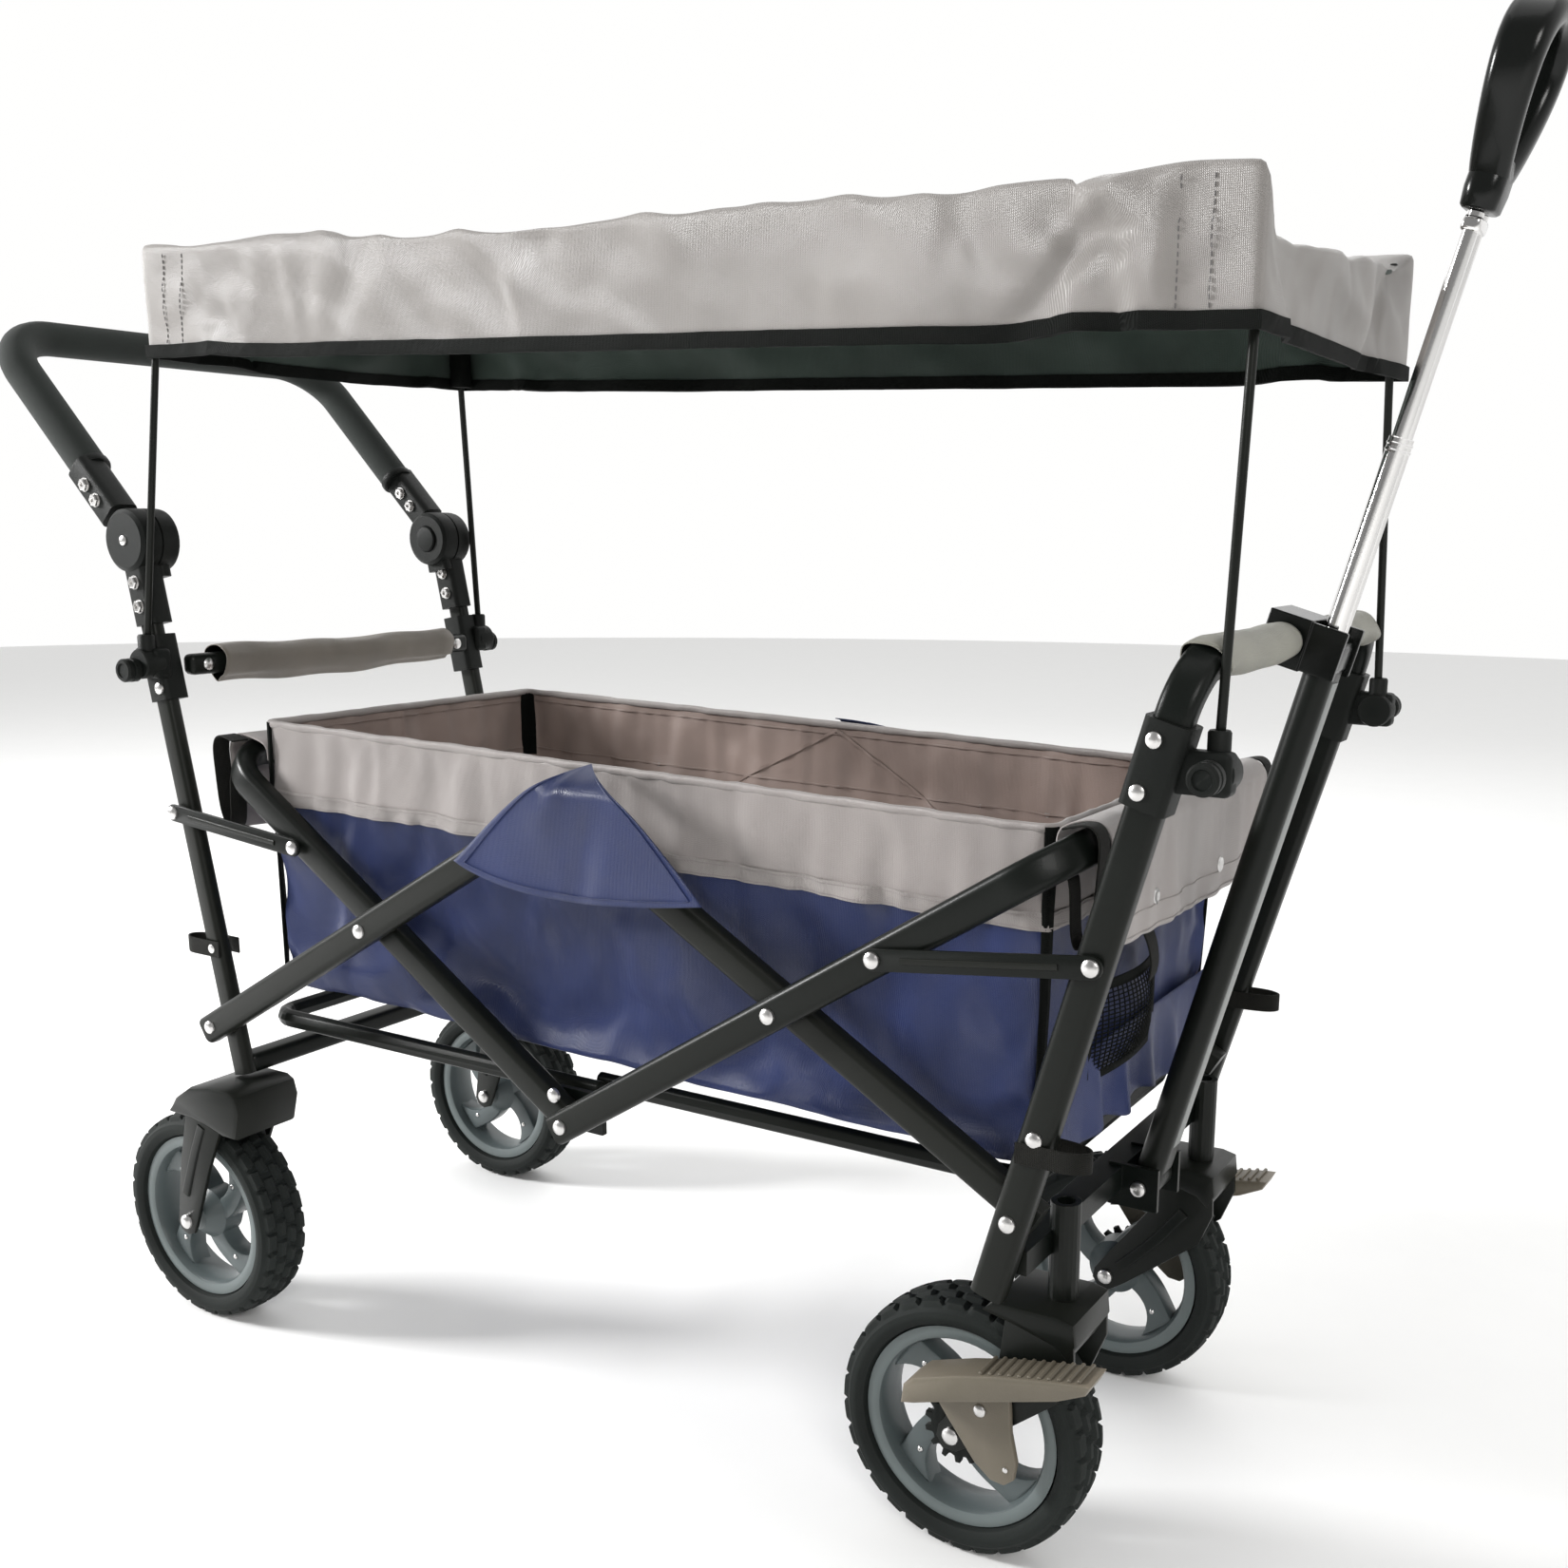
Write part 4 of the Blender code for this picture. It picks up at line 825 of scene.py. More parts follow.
def make_adjuster(side, sign):
    """Disc, sleeve and hex bolts on the upright; the outer disc belongs to the push bar."""
    form = Form()
    disc = [(0.0003, -0.0095), (ADJUSTER_R - 0.004, -0.0095), (ADJUSTER_R - 0.0006, -0.0070),
            (ADJUSTER_R, -0.0040), (ADJUSTER_R, 0.0092), (0.0003, 0.0092)]
    facing_in = turned_out(-sign)
    inner = [(0.0140, 0.0040), (0.0140, 0.0095), (ADJUSTER_R - 0.004, 0.0095),
             (ADJUSTER_R - 0.0006, 0.0070), (ADJUSTER_R, 0.0040), (ADJUSTER_R, -0.0092),
             (0.0003, -0.0092), (0.0003, 0.0040)]
    form.lathe(inner, place(ADJUSTER, sign * 0.1700, facing_in), 40)
    low = Vector((upright_x(0.650), 0.650))
    high = Vector((upright_x(0.700), 0.700))
    sleeve = rounded_rect(0.0265, 0.0225, 0.005)
    form.sweep([at(low, sign * INNER_Y), at(high, sign * INNER_Y)], sleeve)
    form.sweep([at(Vector((upright_x(0.690), 0.690)), sign * 0.1725), at(ADJUSTER, sign * 0.1725)],
               rounded_rect(0.028, 0.0110, 0.004))
    form.make(f"adjuster_disc_{side}", PLASTIC, "rear_frame", "black_plastic", [f"adjuster_base_{side}"])
    bolts = Form()
    for z in (0.687, 0.666):
        for y, facing in ((sign * (INNER_Y + 0.01125), sign), (sign * (INNER_Y - 0.01125), -sign)):
            hex_bolt(bolts, (upright_x(z), z), y, facing)
    bolts.make(f"adjuster_bolts_{side}", ZINC, "rear_frame", "chrome")
    button = [(0.0003, -0.0020), (0.0133, -0.0020), (0.0133, 0.0008), (0.0120, 0.0022),
              (0.0080, 0.0028), (0.0003, 0.0030)]
    Form().lathe(button, place(ADJUSTER, sign * 0.16025, facing_in), 32).make(
        f"adjuster_button_cap_{side}", PLASTIC, f"adjuster_button_{side}", "black_plastic",
        [f"adjuster_button_{side}"])
    return disc


def hex_bolt(form, point, y, outward):
    radius = 0.0056
    facing = turned_out(outward)
    form.lathe([(radius * 1.12, -0.0004), (radius * 1.12, 0.0006)], place(point, y, facing), 20)
    form.lathe([(radius, 0.0006), (radius, 0.0030), (radius * 0.8, 0.0038), (radius * 0.4, 0.0038),
                (radius * 0.35, 0.0024)], place(point, y, facing), 6)


def make_push_bar():
    direction = Vector((math.cos(PUSH_TURN), math.sin(PUSH_TURN)))
    plane = place(ADJUSTER, 0, tilt(direction))
    form = Form()
    bolts = Form()
    for side, sign in SIDES.items():
        disc = make_adjuster(side, sign)
        profile = [(radius, -height) for radius, height in reversed(disc)]
        form.lathe(profile, place(ADJUSTER, sign * 0.1903, turned_out(sign)), 40)
        form.sweep([(0.030, sign * 0.186, 0), (0.088, sign * 0.186, 0), (0.0905, sign * 0.186, 0)],
                   rounded_rect(0.0265, 0.0285, 0.007), (0, 0, 1), where=plane)
        form.lathe([(0.0165, -0.0035), (0.0172, -0.0020), (0.0172, 0.0020), (0.0165, 0.0035)],
                   plane @ Matrix.Translation((0.0885, sign * PUSH_Y, 0))
                   @ FORWARD, 32)
        rivet(bolts, ADJUSTER, sign * 0.1998, sign, 0.0046, 0.0022)
        for distance in (0.049, 0.068):
            for y, facing in ((sign * (0.186 + 0.0133), sign), (sign * (0.186 - 0.0133), -sign)):
                hex_bolt(bolts, ADJUSTER + direction * distance, y, facing)
    form.make("push_bar_sleeves", PLASTIC, "push_bar", "frame_black", ["push_bar"])
    bolts.make("push_bar_bolts", ZINC, "push_bar", "chrome")
    corners = [(0.0905, -PUSH_Y), (PUSH_REACH, -PUSH_Y), (PUSH_REACH, PUSH_Y), (0.0905, PUSH_Y)]
    path = [(point.x, point.y, 0) for point in rounded(corners, 0.052, 12)]
    foam = Form().sweep(path, circle(0.0160, 24), (0, 0, 1), where=plane)
    grip = foam.make("push_grip_foam", FOAM, "push_bar", "black_foam", ["push_grip"])


def make_grab_bar():
    """Flat steel bar with a rivet at each end, and a folded cloth sleeve that hangs on it."""
    form = Form()
    across = Matrix.Rotation(math.pi / 2, 4, "Z")
    form.block((0.3440, 0.0150, 0.0190), place(GRAB_BAR, 0, across), 0.005)
    form.make("grab_bar_steel", POWDER, "rear_frame", "frame_black", ["rear_grab_bar"])
    heads = Form()
    turn = Matrix.Rotation(math.pi / 2, 4, "Y")
    for sign in SIDES.values():
        spot = at(GRAB_BAR + Vector((0.0075, 0.0)), sign * 0.155)
        heads.lathe([(0.0056, -0.0004), (0.0054, 0.0008), (0.0040, 0.0020), (0.0015, 0.0027),
                     (0.0002, 0.0028)], Matrix.Translation(spot) @ turn, 16)
    heads.make("grab_bar_rivets", ZINC, "rear_frame", "chrome")
    rings = []
    steps = 60
    for step in range(steps + 1):
        share = step / steps
        y = -0.142 + 0.284 * share
        sag = 0.0012 * math.sin(7 * share + 1) + 0.0009 * math.sin(19 * share)
        keel = -0.0178 - 0.0016 * math.sin(4 * share + 0.5) + sag
        section = [(-0.0125, 0.0125), (-0.0040, 0.0152 + sag), (0.0060, 0.0150 + sag), (0.0148, 0.0100),
                   (0.0165, 0.0020 + sag), (0.0120, -0.0090), (0.0060, keel + 0.004), (0.0010, keel),
                   (-0.0060, -0.0120), (-0.0140, -0.0030 + sag), (-0.0155, 0.0060)]
        loop = smooth_path([Vector(point) for point in section], 4, closed=True)
        outer = [(point.x, y, point.y) for point in loop]
        rings.append(outer)
    skin_cloth_sleeve("grab_bar_sleeve", rings, at(GRAB_BAR), SLEEVE, "rear_frame",
                      "rear_grab_sleeve")


def skin_cloth_sleeve(name, rings, origin, cloth, body, node):
    """An open-ended tube of cloth with thickness, from a row of closed rings about its origin."""
    size = len(rings[0])
    verts = [origin + Vector(vert) for ring in rings for vert in ring]
    faces = []
    for row in range(len(rings) - 1):
        for index in range(size):
            nxt = (index + 1) % size
            faces.append((row * size + index, row * size + nxt, (row + 1) * size + nxt,
                          (row + 1) * size + index))
    mesh = bpy.data.meshes.new(name)
    mesh.from_pydata([tuple(vert) for vert in verts], [], faces)
    obj = make_piece(name, mesh, [cloth, BINDING], None, angle=0)
    wall = obj.modifiers.new("wall", "SOLIDIFY")
    wall.thickness = 0.0009
    wall.offset = -1
    wall.material_offset = 1
    wall.material_offset_rim = 0
    recalculate(obj.data)
    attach(obj, body)
    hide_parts(node)
    return obj


def recalculate(mesh):
    form = bmesh.new()
    form.from_mesh(mesh)
    bmesh.ops.recalc_face_normals(form, faces=form.faces)
    form.to_mesh(mesh)
    form.free()


# ---- front frame fittings and pull handle ----------------------------------------------------
def make_top_sleeves():
    """Cloth sleeves on the top bar, from the handle clip to the bends, loose at their outer ends."""
    run = (TOP_BAR - LEG_FOOT).normalized()
    turn = tilt(run)
    bend = 0.038
    for side, sign in SIDES.items():
        rings = []
        steps = 40
        straight = OUTER_Y - bend - 0.030
        length = straight + bend * math.radians(26)
        for step in range(steps + 1):
            share = step / steps
            reach = share * length
            angle = max(0.0, (reach - straight) / bend)
            y = 0.030 + min(reach, straight) + bend * math.sin(angle)
            back = -bend * (1 - math.cos(angle))
            puff = 1.0 + 0.05 * math.sin(math.pi * share) + 0.03 * math.sin(13 * share + sign)
            flare = 1.0 + 0.16 * max(0.0, (share - 0.78) / 0.22) ** 2
            ring = []
            for index, (across, up) in enumerate(circle(1.0, 32)):
                wave = 1.0 + 0.035 * share * math.sin(5 * 2 * math.pi * index / 32 + 3 * share)
                lateral = 0.0150 * up * puff * flare * wave
                along = 0.0126 * across * puff * wave
                local = Vector((back + along * math.cos(angle), 0, lateral))
                offset = sign * along * math.sin(angle)
                sag = -0.0020 * math.sin(math.pi * share)
                ring.append(turn @ local + Vector((0, sign * y + offset, sag)))
            rings.append(ring)
        skin_cloth_sleeve(f"top_bar_sleeve_{side}", rings, at(TOP_BAR), TOP_SLEEVE, "front_frame",
                          f"top_sleeve_{side}")


def handle_plane(distance=0.0):
    """Local X up the handle, local Y across, local Z to the back."""
    return place(HANDLE_PIVOT + HANDLE_RUN * distance, 0, tilt(HANDLE_RUN))


def twin_rods(form, span, radius):
    for sign in (-1, 1):
        rod = Matrix.Translation((0, sign * TWIN_Y, 0)) @ FORWARD
        form.lathe([(radius * 0.9, span[0]), (radius, span[0] + 0.0006), (radius, span[1] - 0.0006),
                    (radius * 0.9, span[1])], handle_plane() @ rod, 28)
        for distance in (0.0, 0.0045):
            top = span[1] - 0.004 - distance
            form.lathe([(radius, top - 0.0016), (radius + 0.0005, top - 0.0010), (radius + 0.0005, top),
                        (radius, top + 0.0006)], handle_plane() @ rod, 28)


def make_handle():
    end = 0.435
    plane = handle_plane()
    form = Form()
    form.sweep([(0.012, 0, 0), (end - 0.004, 0, 0), (end, 0, 0)], rounded_rect(0.036, 0.0215, 0.0100, 8),
               (0, 0, 1), where=plane)
    form.lathe([(0.0046, -0.0182), (0.0110, -0.0182), (0.0114, -0.0170), (0.0114, 0.0170),
                (0.0110, 0.0182), (0.0046, 0.0182)],
               place(HANDLE_PIVOT, 0, SIDEWAYS), 28)
    form.block((0.024, 0.0365, 0.0230), handle_plane(end - 0.011), 0.005, slot=1)
    form.make("handle_sleeve_tube", [POWDER, GLOSSY], "handle", "frame_black", ["handle_tube"])
    stripe = Form().sweep([(0.035, 0, -0.0104), (end - 0.028, 0, -0.0104)],
                          rounded_rect(0.0150, 0.0018, 0.0006), (0, 0, 1), where=plane)
    stripe.make("handle_stripe", STRIPE, "handle", "grey_fabric")
    bolts = Form()
    for sign in SIDES.values():
        rivet(bolts, HANDLE_PIVOT, sign * 0.0265, sign, 0.0062, 0.0030)
    bolts.make("handle_pivot_bolt", ZINC, "front_frame", "chrome")
    lower = Form()
    twin_rods(lower, (0.395, 0.574), 0.0068)
    lower.make("handle_lower_tubes", CHROME, "handle_lower", "chrome", ["handle_stage_lower"])
    upper = Form()
    twin_rods(upper, (0.545, 0.716), 0.0054)
    upper.block((0.010, 0.0250, 0.0130), handle_plane(0.708), 0.003)
    upper.make("handle_upper_tubes", CHROME, "handle_upper", "chrome", ["handle_stage_upper"])
    make_grip()


def make_grip():
    """Teardrop loop: broad and thick at the top, narrowing into a neck over the tubes."""
    low, high = 0.7365, 0.8330
    rings = []
    count = 56
    for step in range(count):
        turn = 2 * math.pi * step / count
        up = low + (high - low) * (1 - math.cos(turn)) / 2
        lean = 0.77 - 0.33 * math.cos(turn)
        across = 0.0440 * math.sin(turn) * lean
        ahead = low + (high - low) * (1 - math.cos(turn + 0.01)) / 2
        beside = 0.0440 * math.sin(turn + 0.01) * (0.77 - 0.33 * math.cos(turn + 0.01))
        tangent = Vector((ahead - up, beside - across)).normalized()
        side = Vector((tangent.y, -tangent.x))
        share = (1 - math.cos(turn)) / 2
        thick = 0.0082 + 0.0016 * share
        deep = 0.0125 + 0.0045 * share
        ring = []
        for u, v in rounded_rect(2 * thick, 2 * deep, thick * 0.85, 5):
            ring.append((up + side.x * u, across + side.y * u, v))
        rings.append(ring)
    form = Form().rings(rings, closed=True, caps=False, where=handle_plane())
    neck = []
    for distance, width, depth in ((0.7165, 0.0300, 0.0200), (0.7180, 0.0330, 0.0230),
                                   (0.7290, 0.0350, 0.0250), (0.7400, 0.0330, 0.0250),
                                   (0.7480, 0.0260, 0.0220)):
        neck.append([(distance, y, z) for y, z in rounded_rect(width, depth, 0.009, 6)])
    form.rings(neck, where=handle_plane())
    form.make("pull_grip", GLOSSY, "handle_upper", "black_plastic", ["handle_grip"], angle=50)


REAR_SOCKET = (-0.4105, 0.2050, 0.6280)                # where the rods stand in the clamps
FRONT_SOCKET = (0.5690, 0.1980, 0.6150)


def make_rods():
    """Thin canopy rods from the clamps into the corner pockets."""
    for end, body, foot, top in (("rear", "rear_frame", REAR_SOCKET, (-0.3960, 0.1740, 0.9600)),
                                 ("front", "front_frame", FRONT_SOCKET,
                                  (0.5664, 0.1588, 0.9400))):
        for side, sign in SIDES.items():
            start = Vector((foot[0] + MID_X, sign * foot[1], foot[2]))
            run = Vector((top[0] + MID_X, sign * top[1], top[2])) - start
            turn = run.to_track_quat("Z", "Y").to_matrix().to_4x4()
            form = Form().lathe([(0.0028, 0), (0.0031, 0.0006), (0.0031, run.length - 0.001),
                                 (0.0022, run.length)], Matrix.Translation(start) @ turn, 16)
            form.make(f"{end}_canopy_rod_{side}", POWDER, body, "frame_black", [f"{end}_rod_{side}"])


# ---- pieces that keep their CAD shape --------------------------------------------------------
def finish_cad_nodes():
    """Rounded edges and a real finish on the CAD pieces that stay."""
    looks = {"middle_bracket": POWDER, "rear_floor_frame": POWDER, "front_floor_frame": POWDER,
             "front_cross_bar": POWDER, "handle_clip": GLOSSY}
    for name, finish in looks.items():
        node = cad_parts[name]
        node.data.materials.clear()
        node.data.materials.append(finish)
        weld = node.modifiers.new("weld", "WELD")
        weld.merge_threshold = 0.00001
        soft = node.modifiers.new("edges", "BEVEL")
        soft.width = 0.0012
        soft.segments = 2
        soft.limit_method = "ANGLE"
        soft.angle_limit = math.radians(40)


# ---- cloth -----------------------------------------------------------------------------------
def settle(obj, pins, frames, grow, stiffness, bending, gravity=1.0):
    """Cloth simulation with its result applied to the mesh; pins are vertex numbers with weights."""
    scene = bpy.context.scene
    group = obj.vertex_groups.new(name="pins")
    for index, weight in pins:
        group.add([index], weight, "REPLACE")
    cloth = obj.modifiers.new("cloth", "CLOTH")
    how = cloth.settings
    how.vertex_group_mass = "pins"
    how.quality = 6
    how.mass = 0.10
    how.tension_stiffness = stiffness
    how.compression_stiffness = stiffness
    how.shear_stiffness = stiffness / 2
    how.bending_stiffness = bending
    how.air_damping = 6
    how.shrink_min = -grow
    how.effector_weights.gravity = gravity
    cloth.collision_settings.use_collision = False
    cloth.collision_settings.use_self_collision = False
    cloth.point_cache.frame_start = 1
    cloth.point_cache.frame_end = frames
    for step in range(1, frames + 1):
        scene.frame_set(step)
    settled = obj.evaluated_get(bpy.context.evaluated_depsgraph_get()).to_mesh()
    spots = [vert.co.copy() for vert in settled.vertices]
    obj.to_mesh_clear()
    obj.modifiers.remove(cloth)
    obj.vertex_groups.remove(group)
    for vert, spot in zip(obj.data.vertices, spots):
        vert.co = spot
    scene.frame_set(1)


def folds(spot, size, slant, seed):
    """Height of cloth folds, about -1 to 1: broad swells crossed by sharper slanting creases."""
    across = Vector((spot.x + slant * spot.z, spot.y + 0.5 * slant * spot.z, spot.z * 0.55 + seed))
    swell = noise.noise(across / size)
    crease = 1 - 3.4 * abs(noise.noise(across * (1.7 / size) + Vector((seed, 2.0, 5.0))))
    return swell + 0.42 * max(crease, -0.5)


def crumple(obj, height):
    """Move each vertex along its normal by height(spot)."""
    obj.data.update()
    moves = [vert.normal * height(vert.co) for vert in obj.data.vertices]
    for vert, move in zip(obj.data.vertices, moves):
        vert.co += move


def cloth_grid(name, rows, closed):
    """An object whose mesh joins rows of points; closed rows run all the way round."""
    size = len(rows[0])
    faces = []
    for row in range(len(rows) - 1):
        for col in range(size if closed else size - 1):
            nxt = (col + 1) % size
            faces.append((row * size + col, (row + 1) * size + col, (row + 1) * size + nxt,
                          row * size + nxt))
    mesh = bpy.data.meshes.new(name)
    mesh.from_pydata([tuple(spot) for row in rows for spot in row], [], faces)
    return link_object(name, mesh)


def make_finer(obj):
    """One level of subdivision."""
    finer = obj.modifiers.new("finer", "SUBSURF")
    finer.levels = 1
    finer.render_levels = 1
    return finer


def finish_cloth(obj, materials, thickness, offset=-1.0, lining=0):
    """Thickness, finer mesh and materials for a cloth piece, which goes on the rear frame."""
    for each in materials:
        obj.data.materials.append(each)
    obj.data.shade_smooth()
    make_finer(obj).boundary_smooth = "PRESERVE_CORNERS"
    wall = obj.modifiers.new("wall", "SOLIDIFY")
    wall.thickness = thickness
    wall.offset = offset
    wall.material_offset = lining
    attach(obj, "rear_frame")
    flatten(obj)


TUB_Y = 0.173
TUB_SLOPE = -0.021
TUB_MIDDLE_X = (TUB_X[0] + TUB_X[1]) / 2
BAND_DROP = 0.068
WALL_ROWS = 24
WALL_DROP = 0.2355


def tub_top(x):
    return 0.5605 + TUB_SLOPE * (x - TUB_MIDDLE_X)


def outline_round(x_span, half_y, radius, step):
    """Evenly spaced points round a rectangle with round corners, from the rear right corner."""
    corners = [(x_span[0], -half_y, 0), (x_span[1], -half_y, 0), (x_span[1], half_y, 0),
               (x_span[0], half_y, 0)]
    path = rounded(corners, radius, 6, closed=True)
    lengths = [0.0]
    for index in range(len(path)):
        lengths.append(lengths[-1] + (path[(index + 1) % len(path)] - path[index]).length)
    count = round(lengths[-1] / step)
    spots = []
    segment = 0
    for index in range(count):
        reach = lengths[-1] * index / count
        while lengths[segment + 1] < reach:
            segment += 1
        share = (reach - lengths[segment]) / (lengths[segment + 1] - lengths[segment])
        spots.append(path[segment].lerp(path[(segment + 1) % len(path)], share))
    return spots


WALL_END = (TUB_X[1] - TUB_X[0]) / 2 - 0.010


class Wall:
    """The tub's wall: a simulated band of cloth round the tub, and strips that follow it."""

    def __init__(self):
        self.outline = outline_round(TUB_X, TUB_Y - 0.0015, 0.013, 0.0095)
        self.rows = []
        for row in range(WALL_ROWS + 1):
            share = row / WALL_ROWS
            ring = []
            for spot in self.outline:
                inward = Vector((TUB_MIDDLE_X - spot.x, -spot.y, 0))
                inward = Vector((math.copysign(1, inward.x) if abs(inward.x) > WALL_END else 0,
                                 math.copysign(1, inward.y) if abs(spot.y) > 0.165 else 0, 0))
                ripple = 0.5 + 0.5 * noise.noise(Vector((spot.x * 9, spot.y * 9, share * 4 + 3)))
                ease = math.sin(math.pi * share)
                place_xy = spot + inward * (ripple * (0.0022 + 0.004 * ease))
                ring.append(Vector((place_xy.x + MID_X, place_xy.y,
                                    tub_top(spot.x) - share * WALL_DROP)))
            self.rows.append(ring)
        self.obj = cloth_grid("tub_wall", self.rows, closed=True)
        size = len(self.outline)
        pins = [(index, 1.0) for index in range(size)]
        pins += [(WALL_ROWS * size + index, 1.0) for index in range(size)]
        settle(self.obj, pins, 34, 0.022, 22, 0.12)
        crumple(self.obj, self.fold_height)
        limit = TUB_Y + 0.0015
        for vert in self.obj.data.vertices:
            vert.co.y = max(-limit, min(limit, vert.co.y))
            vert.co.x = max(TUB_X[0] + MID_X - 0.004, min(TUB_X[1] + MID_X + 0.006, vert.co.x))
        self.size = size
        spots = [vert.co.copy() for vert in self.obj.data.vertices]
        self.rows = [spots[row * size:(row + 1) * size] for row in range(WALL_ROWS + 1)]

    def fold_height(self, spot):
        share = min(max((tub_top(spot.x - MID_X) - spot.z) / WALL_DROP, 0.0), 1.0)
        broad = 0.0074 * math.sin(math.pi * min(1.0, share * 1.1)) * folds(spot, 0.080, 0.9, 1.0)
        hem = 0.0028 * math.exp(-share * 6) * folds(spot, 0.026, -0.6, 4.0)
        foot = 0.0030 * math.exp((share - 1) * 5) * folds(spot, 0.034, 0.8, 8.0)
        return broad + hem + foot - 0.0030

    def spot(self, column, down, lift):
        """Point on the wall at a column number and a drop below the hem, lifted off its outside."""
        row = min(max(down / WALL_DROP * WALL_ROWS, 0), WALL_ROWS - 0.001)
        r, c = int(row), int(math.floor(column))
        a, b = row - r, column - c
        left, right = c % self.size, (c + 1) % self.size
        upper = self.rows[r][left].lerp(self.rows[r][right], b)
        lower = self.rows[r + 1][left].lerp(self.rows[r + 1][right], b)
        along = (self.rows[r][(c + 2) % self.size] - self.rows[r][(c - 1) % self.size]).normalized()
        normal = along.cross(Vector((0, 0, 1))).normalized()
        return upper.lerp(lower, a) + normal * lift

    def column(self, x, sign):
        """Column number on a side wall at a distance along the wagon."""
        found = [(spot.x, index) for index, spot in enumerate(self.outline)
                 if spot.y * sign > TUB_Y - 0.003]
        found.sort()
        for (x0, i0), (x1, i1) in zip(found, found[1:]):
            if x0 <= x <= x1:
                return i0 + (i1 - i0) * (x - x0) / (x1 - x0)
        return found[0][1] if x < found[0][0] else found[-1][1]

    def strip(self, form, columns, drops, lift, thick, steps=40):
        """A band along the wall between two columns and two drops, with its edges closed."""
        rings = []
        for step in range(steps + 1):
            column = columns[0] + (columns[1] - columns[0]) * step / steps
            outer = [self.spot(column, drops[0] + (drops[1] - drops[0]) * k / 4, lift) for k in range(5)]
            inner = [self.spot(column, drops[1] + (drops[0] - drops[1]) * k / 4, lift - thick)
                     for k in range(5)]
            rings.append(outer + inner)
        form.rings(rings)


def flatten(obj):
    """The object gets a mesh of its own."""
    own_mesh(obj)


def make_tub():
    wall = Wall()
    obj = wall.obj
    band_row = BAND_DROP / WALL_DROP * WALL_ROWS
    size = wall.size
    slots = [1 if row + 0.5 < band_row else 0 for row in range(WALL_ROWS) for _ in range(size)]
    for vert in obj.data.vertices:
        row = vert.index // size
        if row < band_row - 0.5:
            col = vert.index % size
            along = wall.rows[row][(col + 1) % size] - wall.rows[row][(col - 1) % size]
            vert.co += along.normalized().cross(Vector((0, 0, 1))) * 0.0009
    make_tub_wall(obj, slots)
    make_tub_floor()
    trim = make_tub_trim(wall)


def make_tub_wall(obj, slots):
    for each in (NAVY, GREY, TAUPE, TAUPE):
        obj.data.materials.append(each)
    obj.data.polygons.foreach_set("material_index", slots)
    obj.data.shade_smooth()
    make_finer(obj)
    skin = obj.modifiers.new("wall", "SOLIDIFY")
    skin.thickness = 0.0012
    skin.offset = -1
    skin.material_offset = 2
    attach(obj, "rear_frame")
    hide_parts("tub")
    flatten(obj)


def make_tub_floor():
    """The floor panel, which sags a little between the floor frames' rails."""
    rows = []
    across = 30
    for row in range(across + 1):
        share = row / across
        y = (TUB_Y - 0.014) * (2 * share - 1)
        line = []
        for col in range(61):
            x = TUB_X[0] + 0.004 + (TUB_X[1] - TUB_X[0] - 0.008) * col / 60
            sag = 0.002 * math.sin(math.pi * share) * abs(math.sin(3 * math.pi * col / 60))
            wrinkle = 0.0008 * noise.noise(Vector((x * 14, y * 20, 1)))
            line.append(at((x, tub_top(x) - WALL_DROP + 0.0060 - sag + wrinkle), y))
        rows.append(line)
    obj = cloth_grid("tub_floor_panel", rows, closed=False)
    finish_cloth(obj, [TAUPE, NAVY], 0.0022, lining=1)
    obj.modifiers["wall"].material_offset_rim = 1
    recalculate(obj.data)


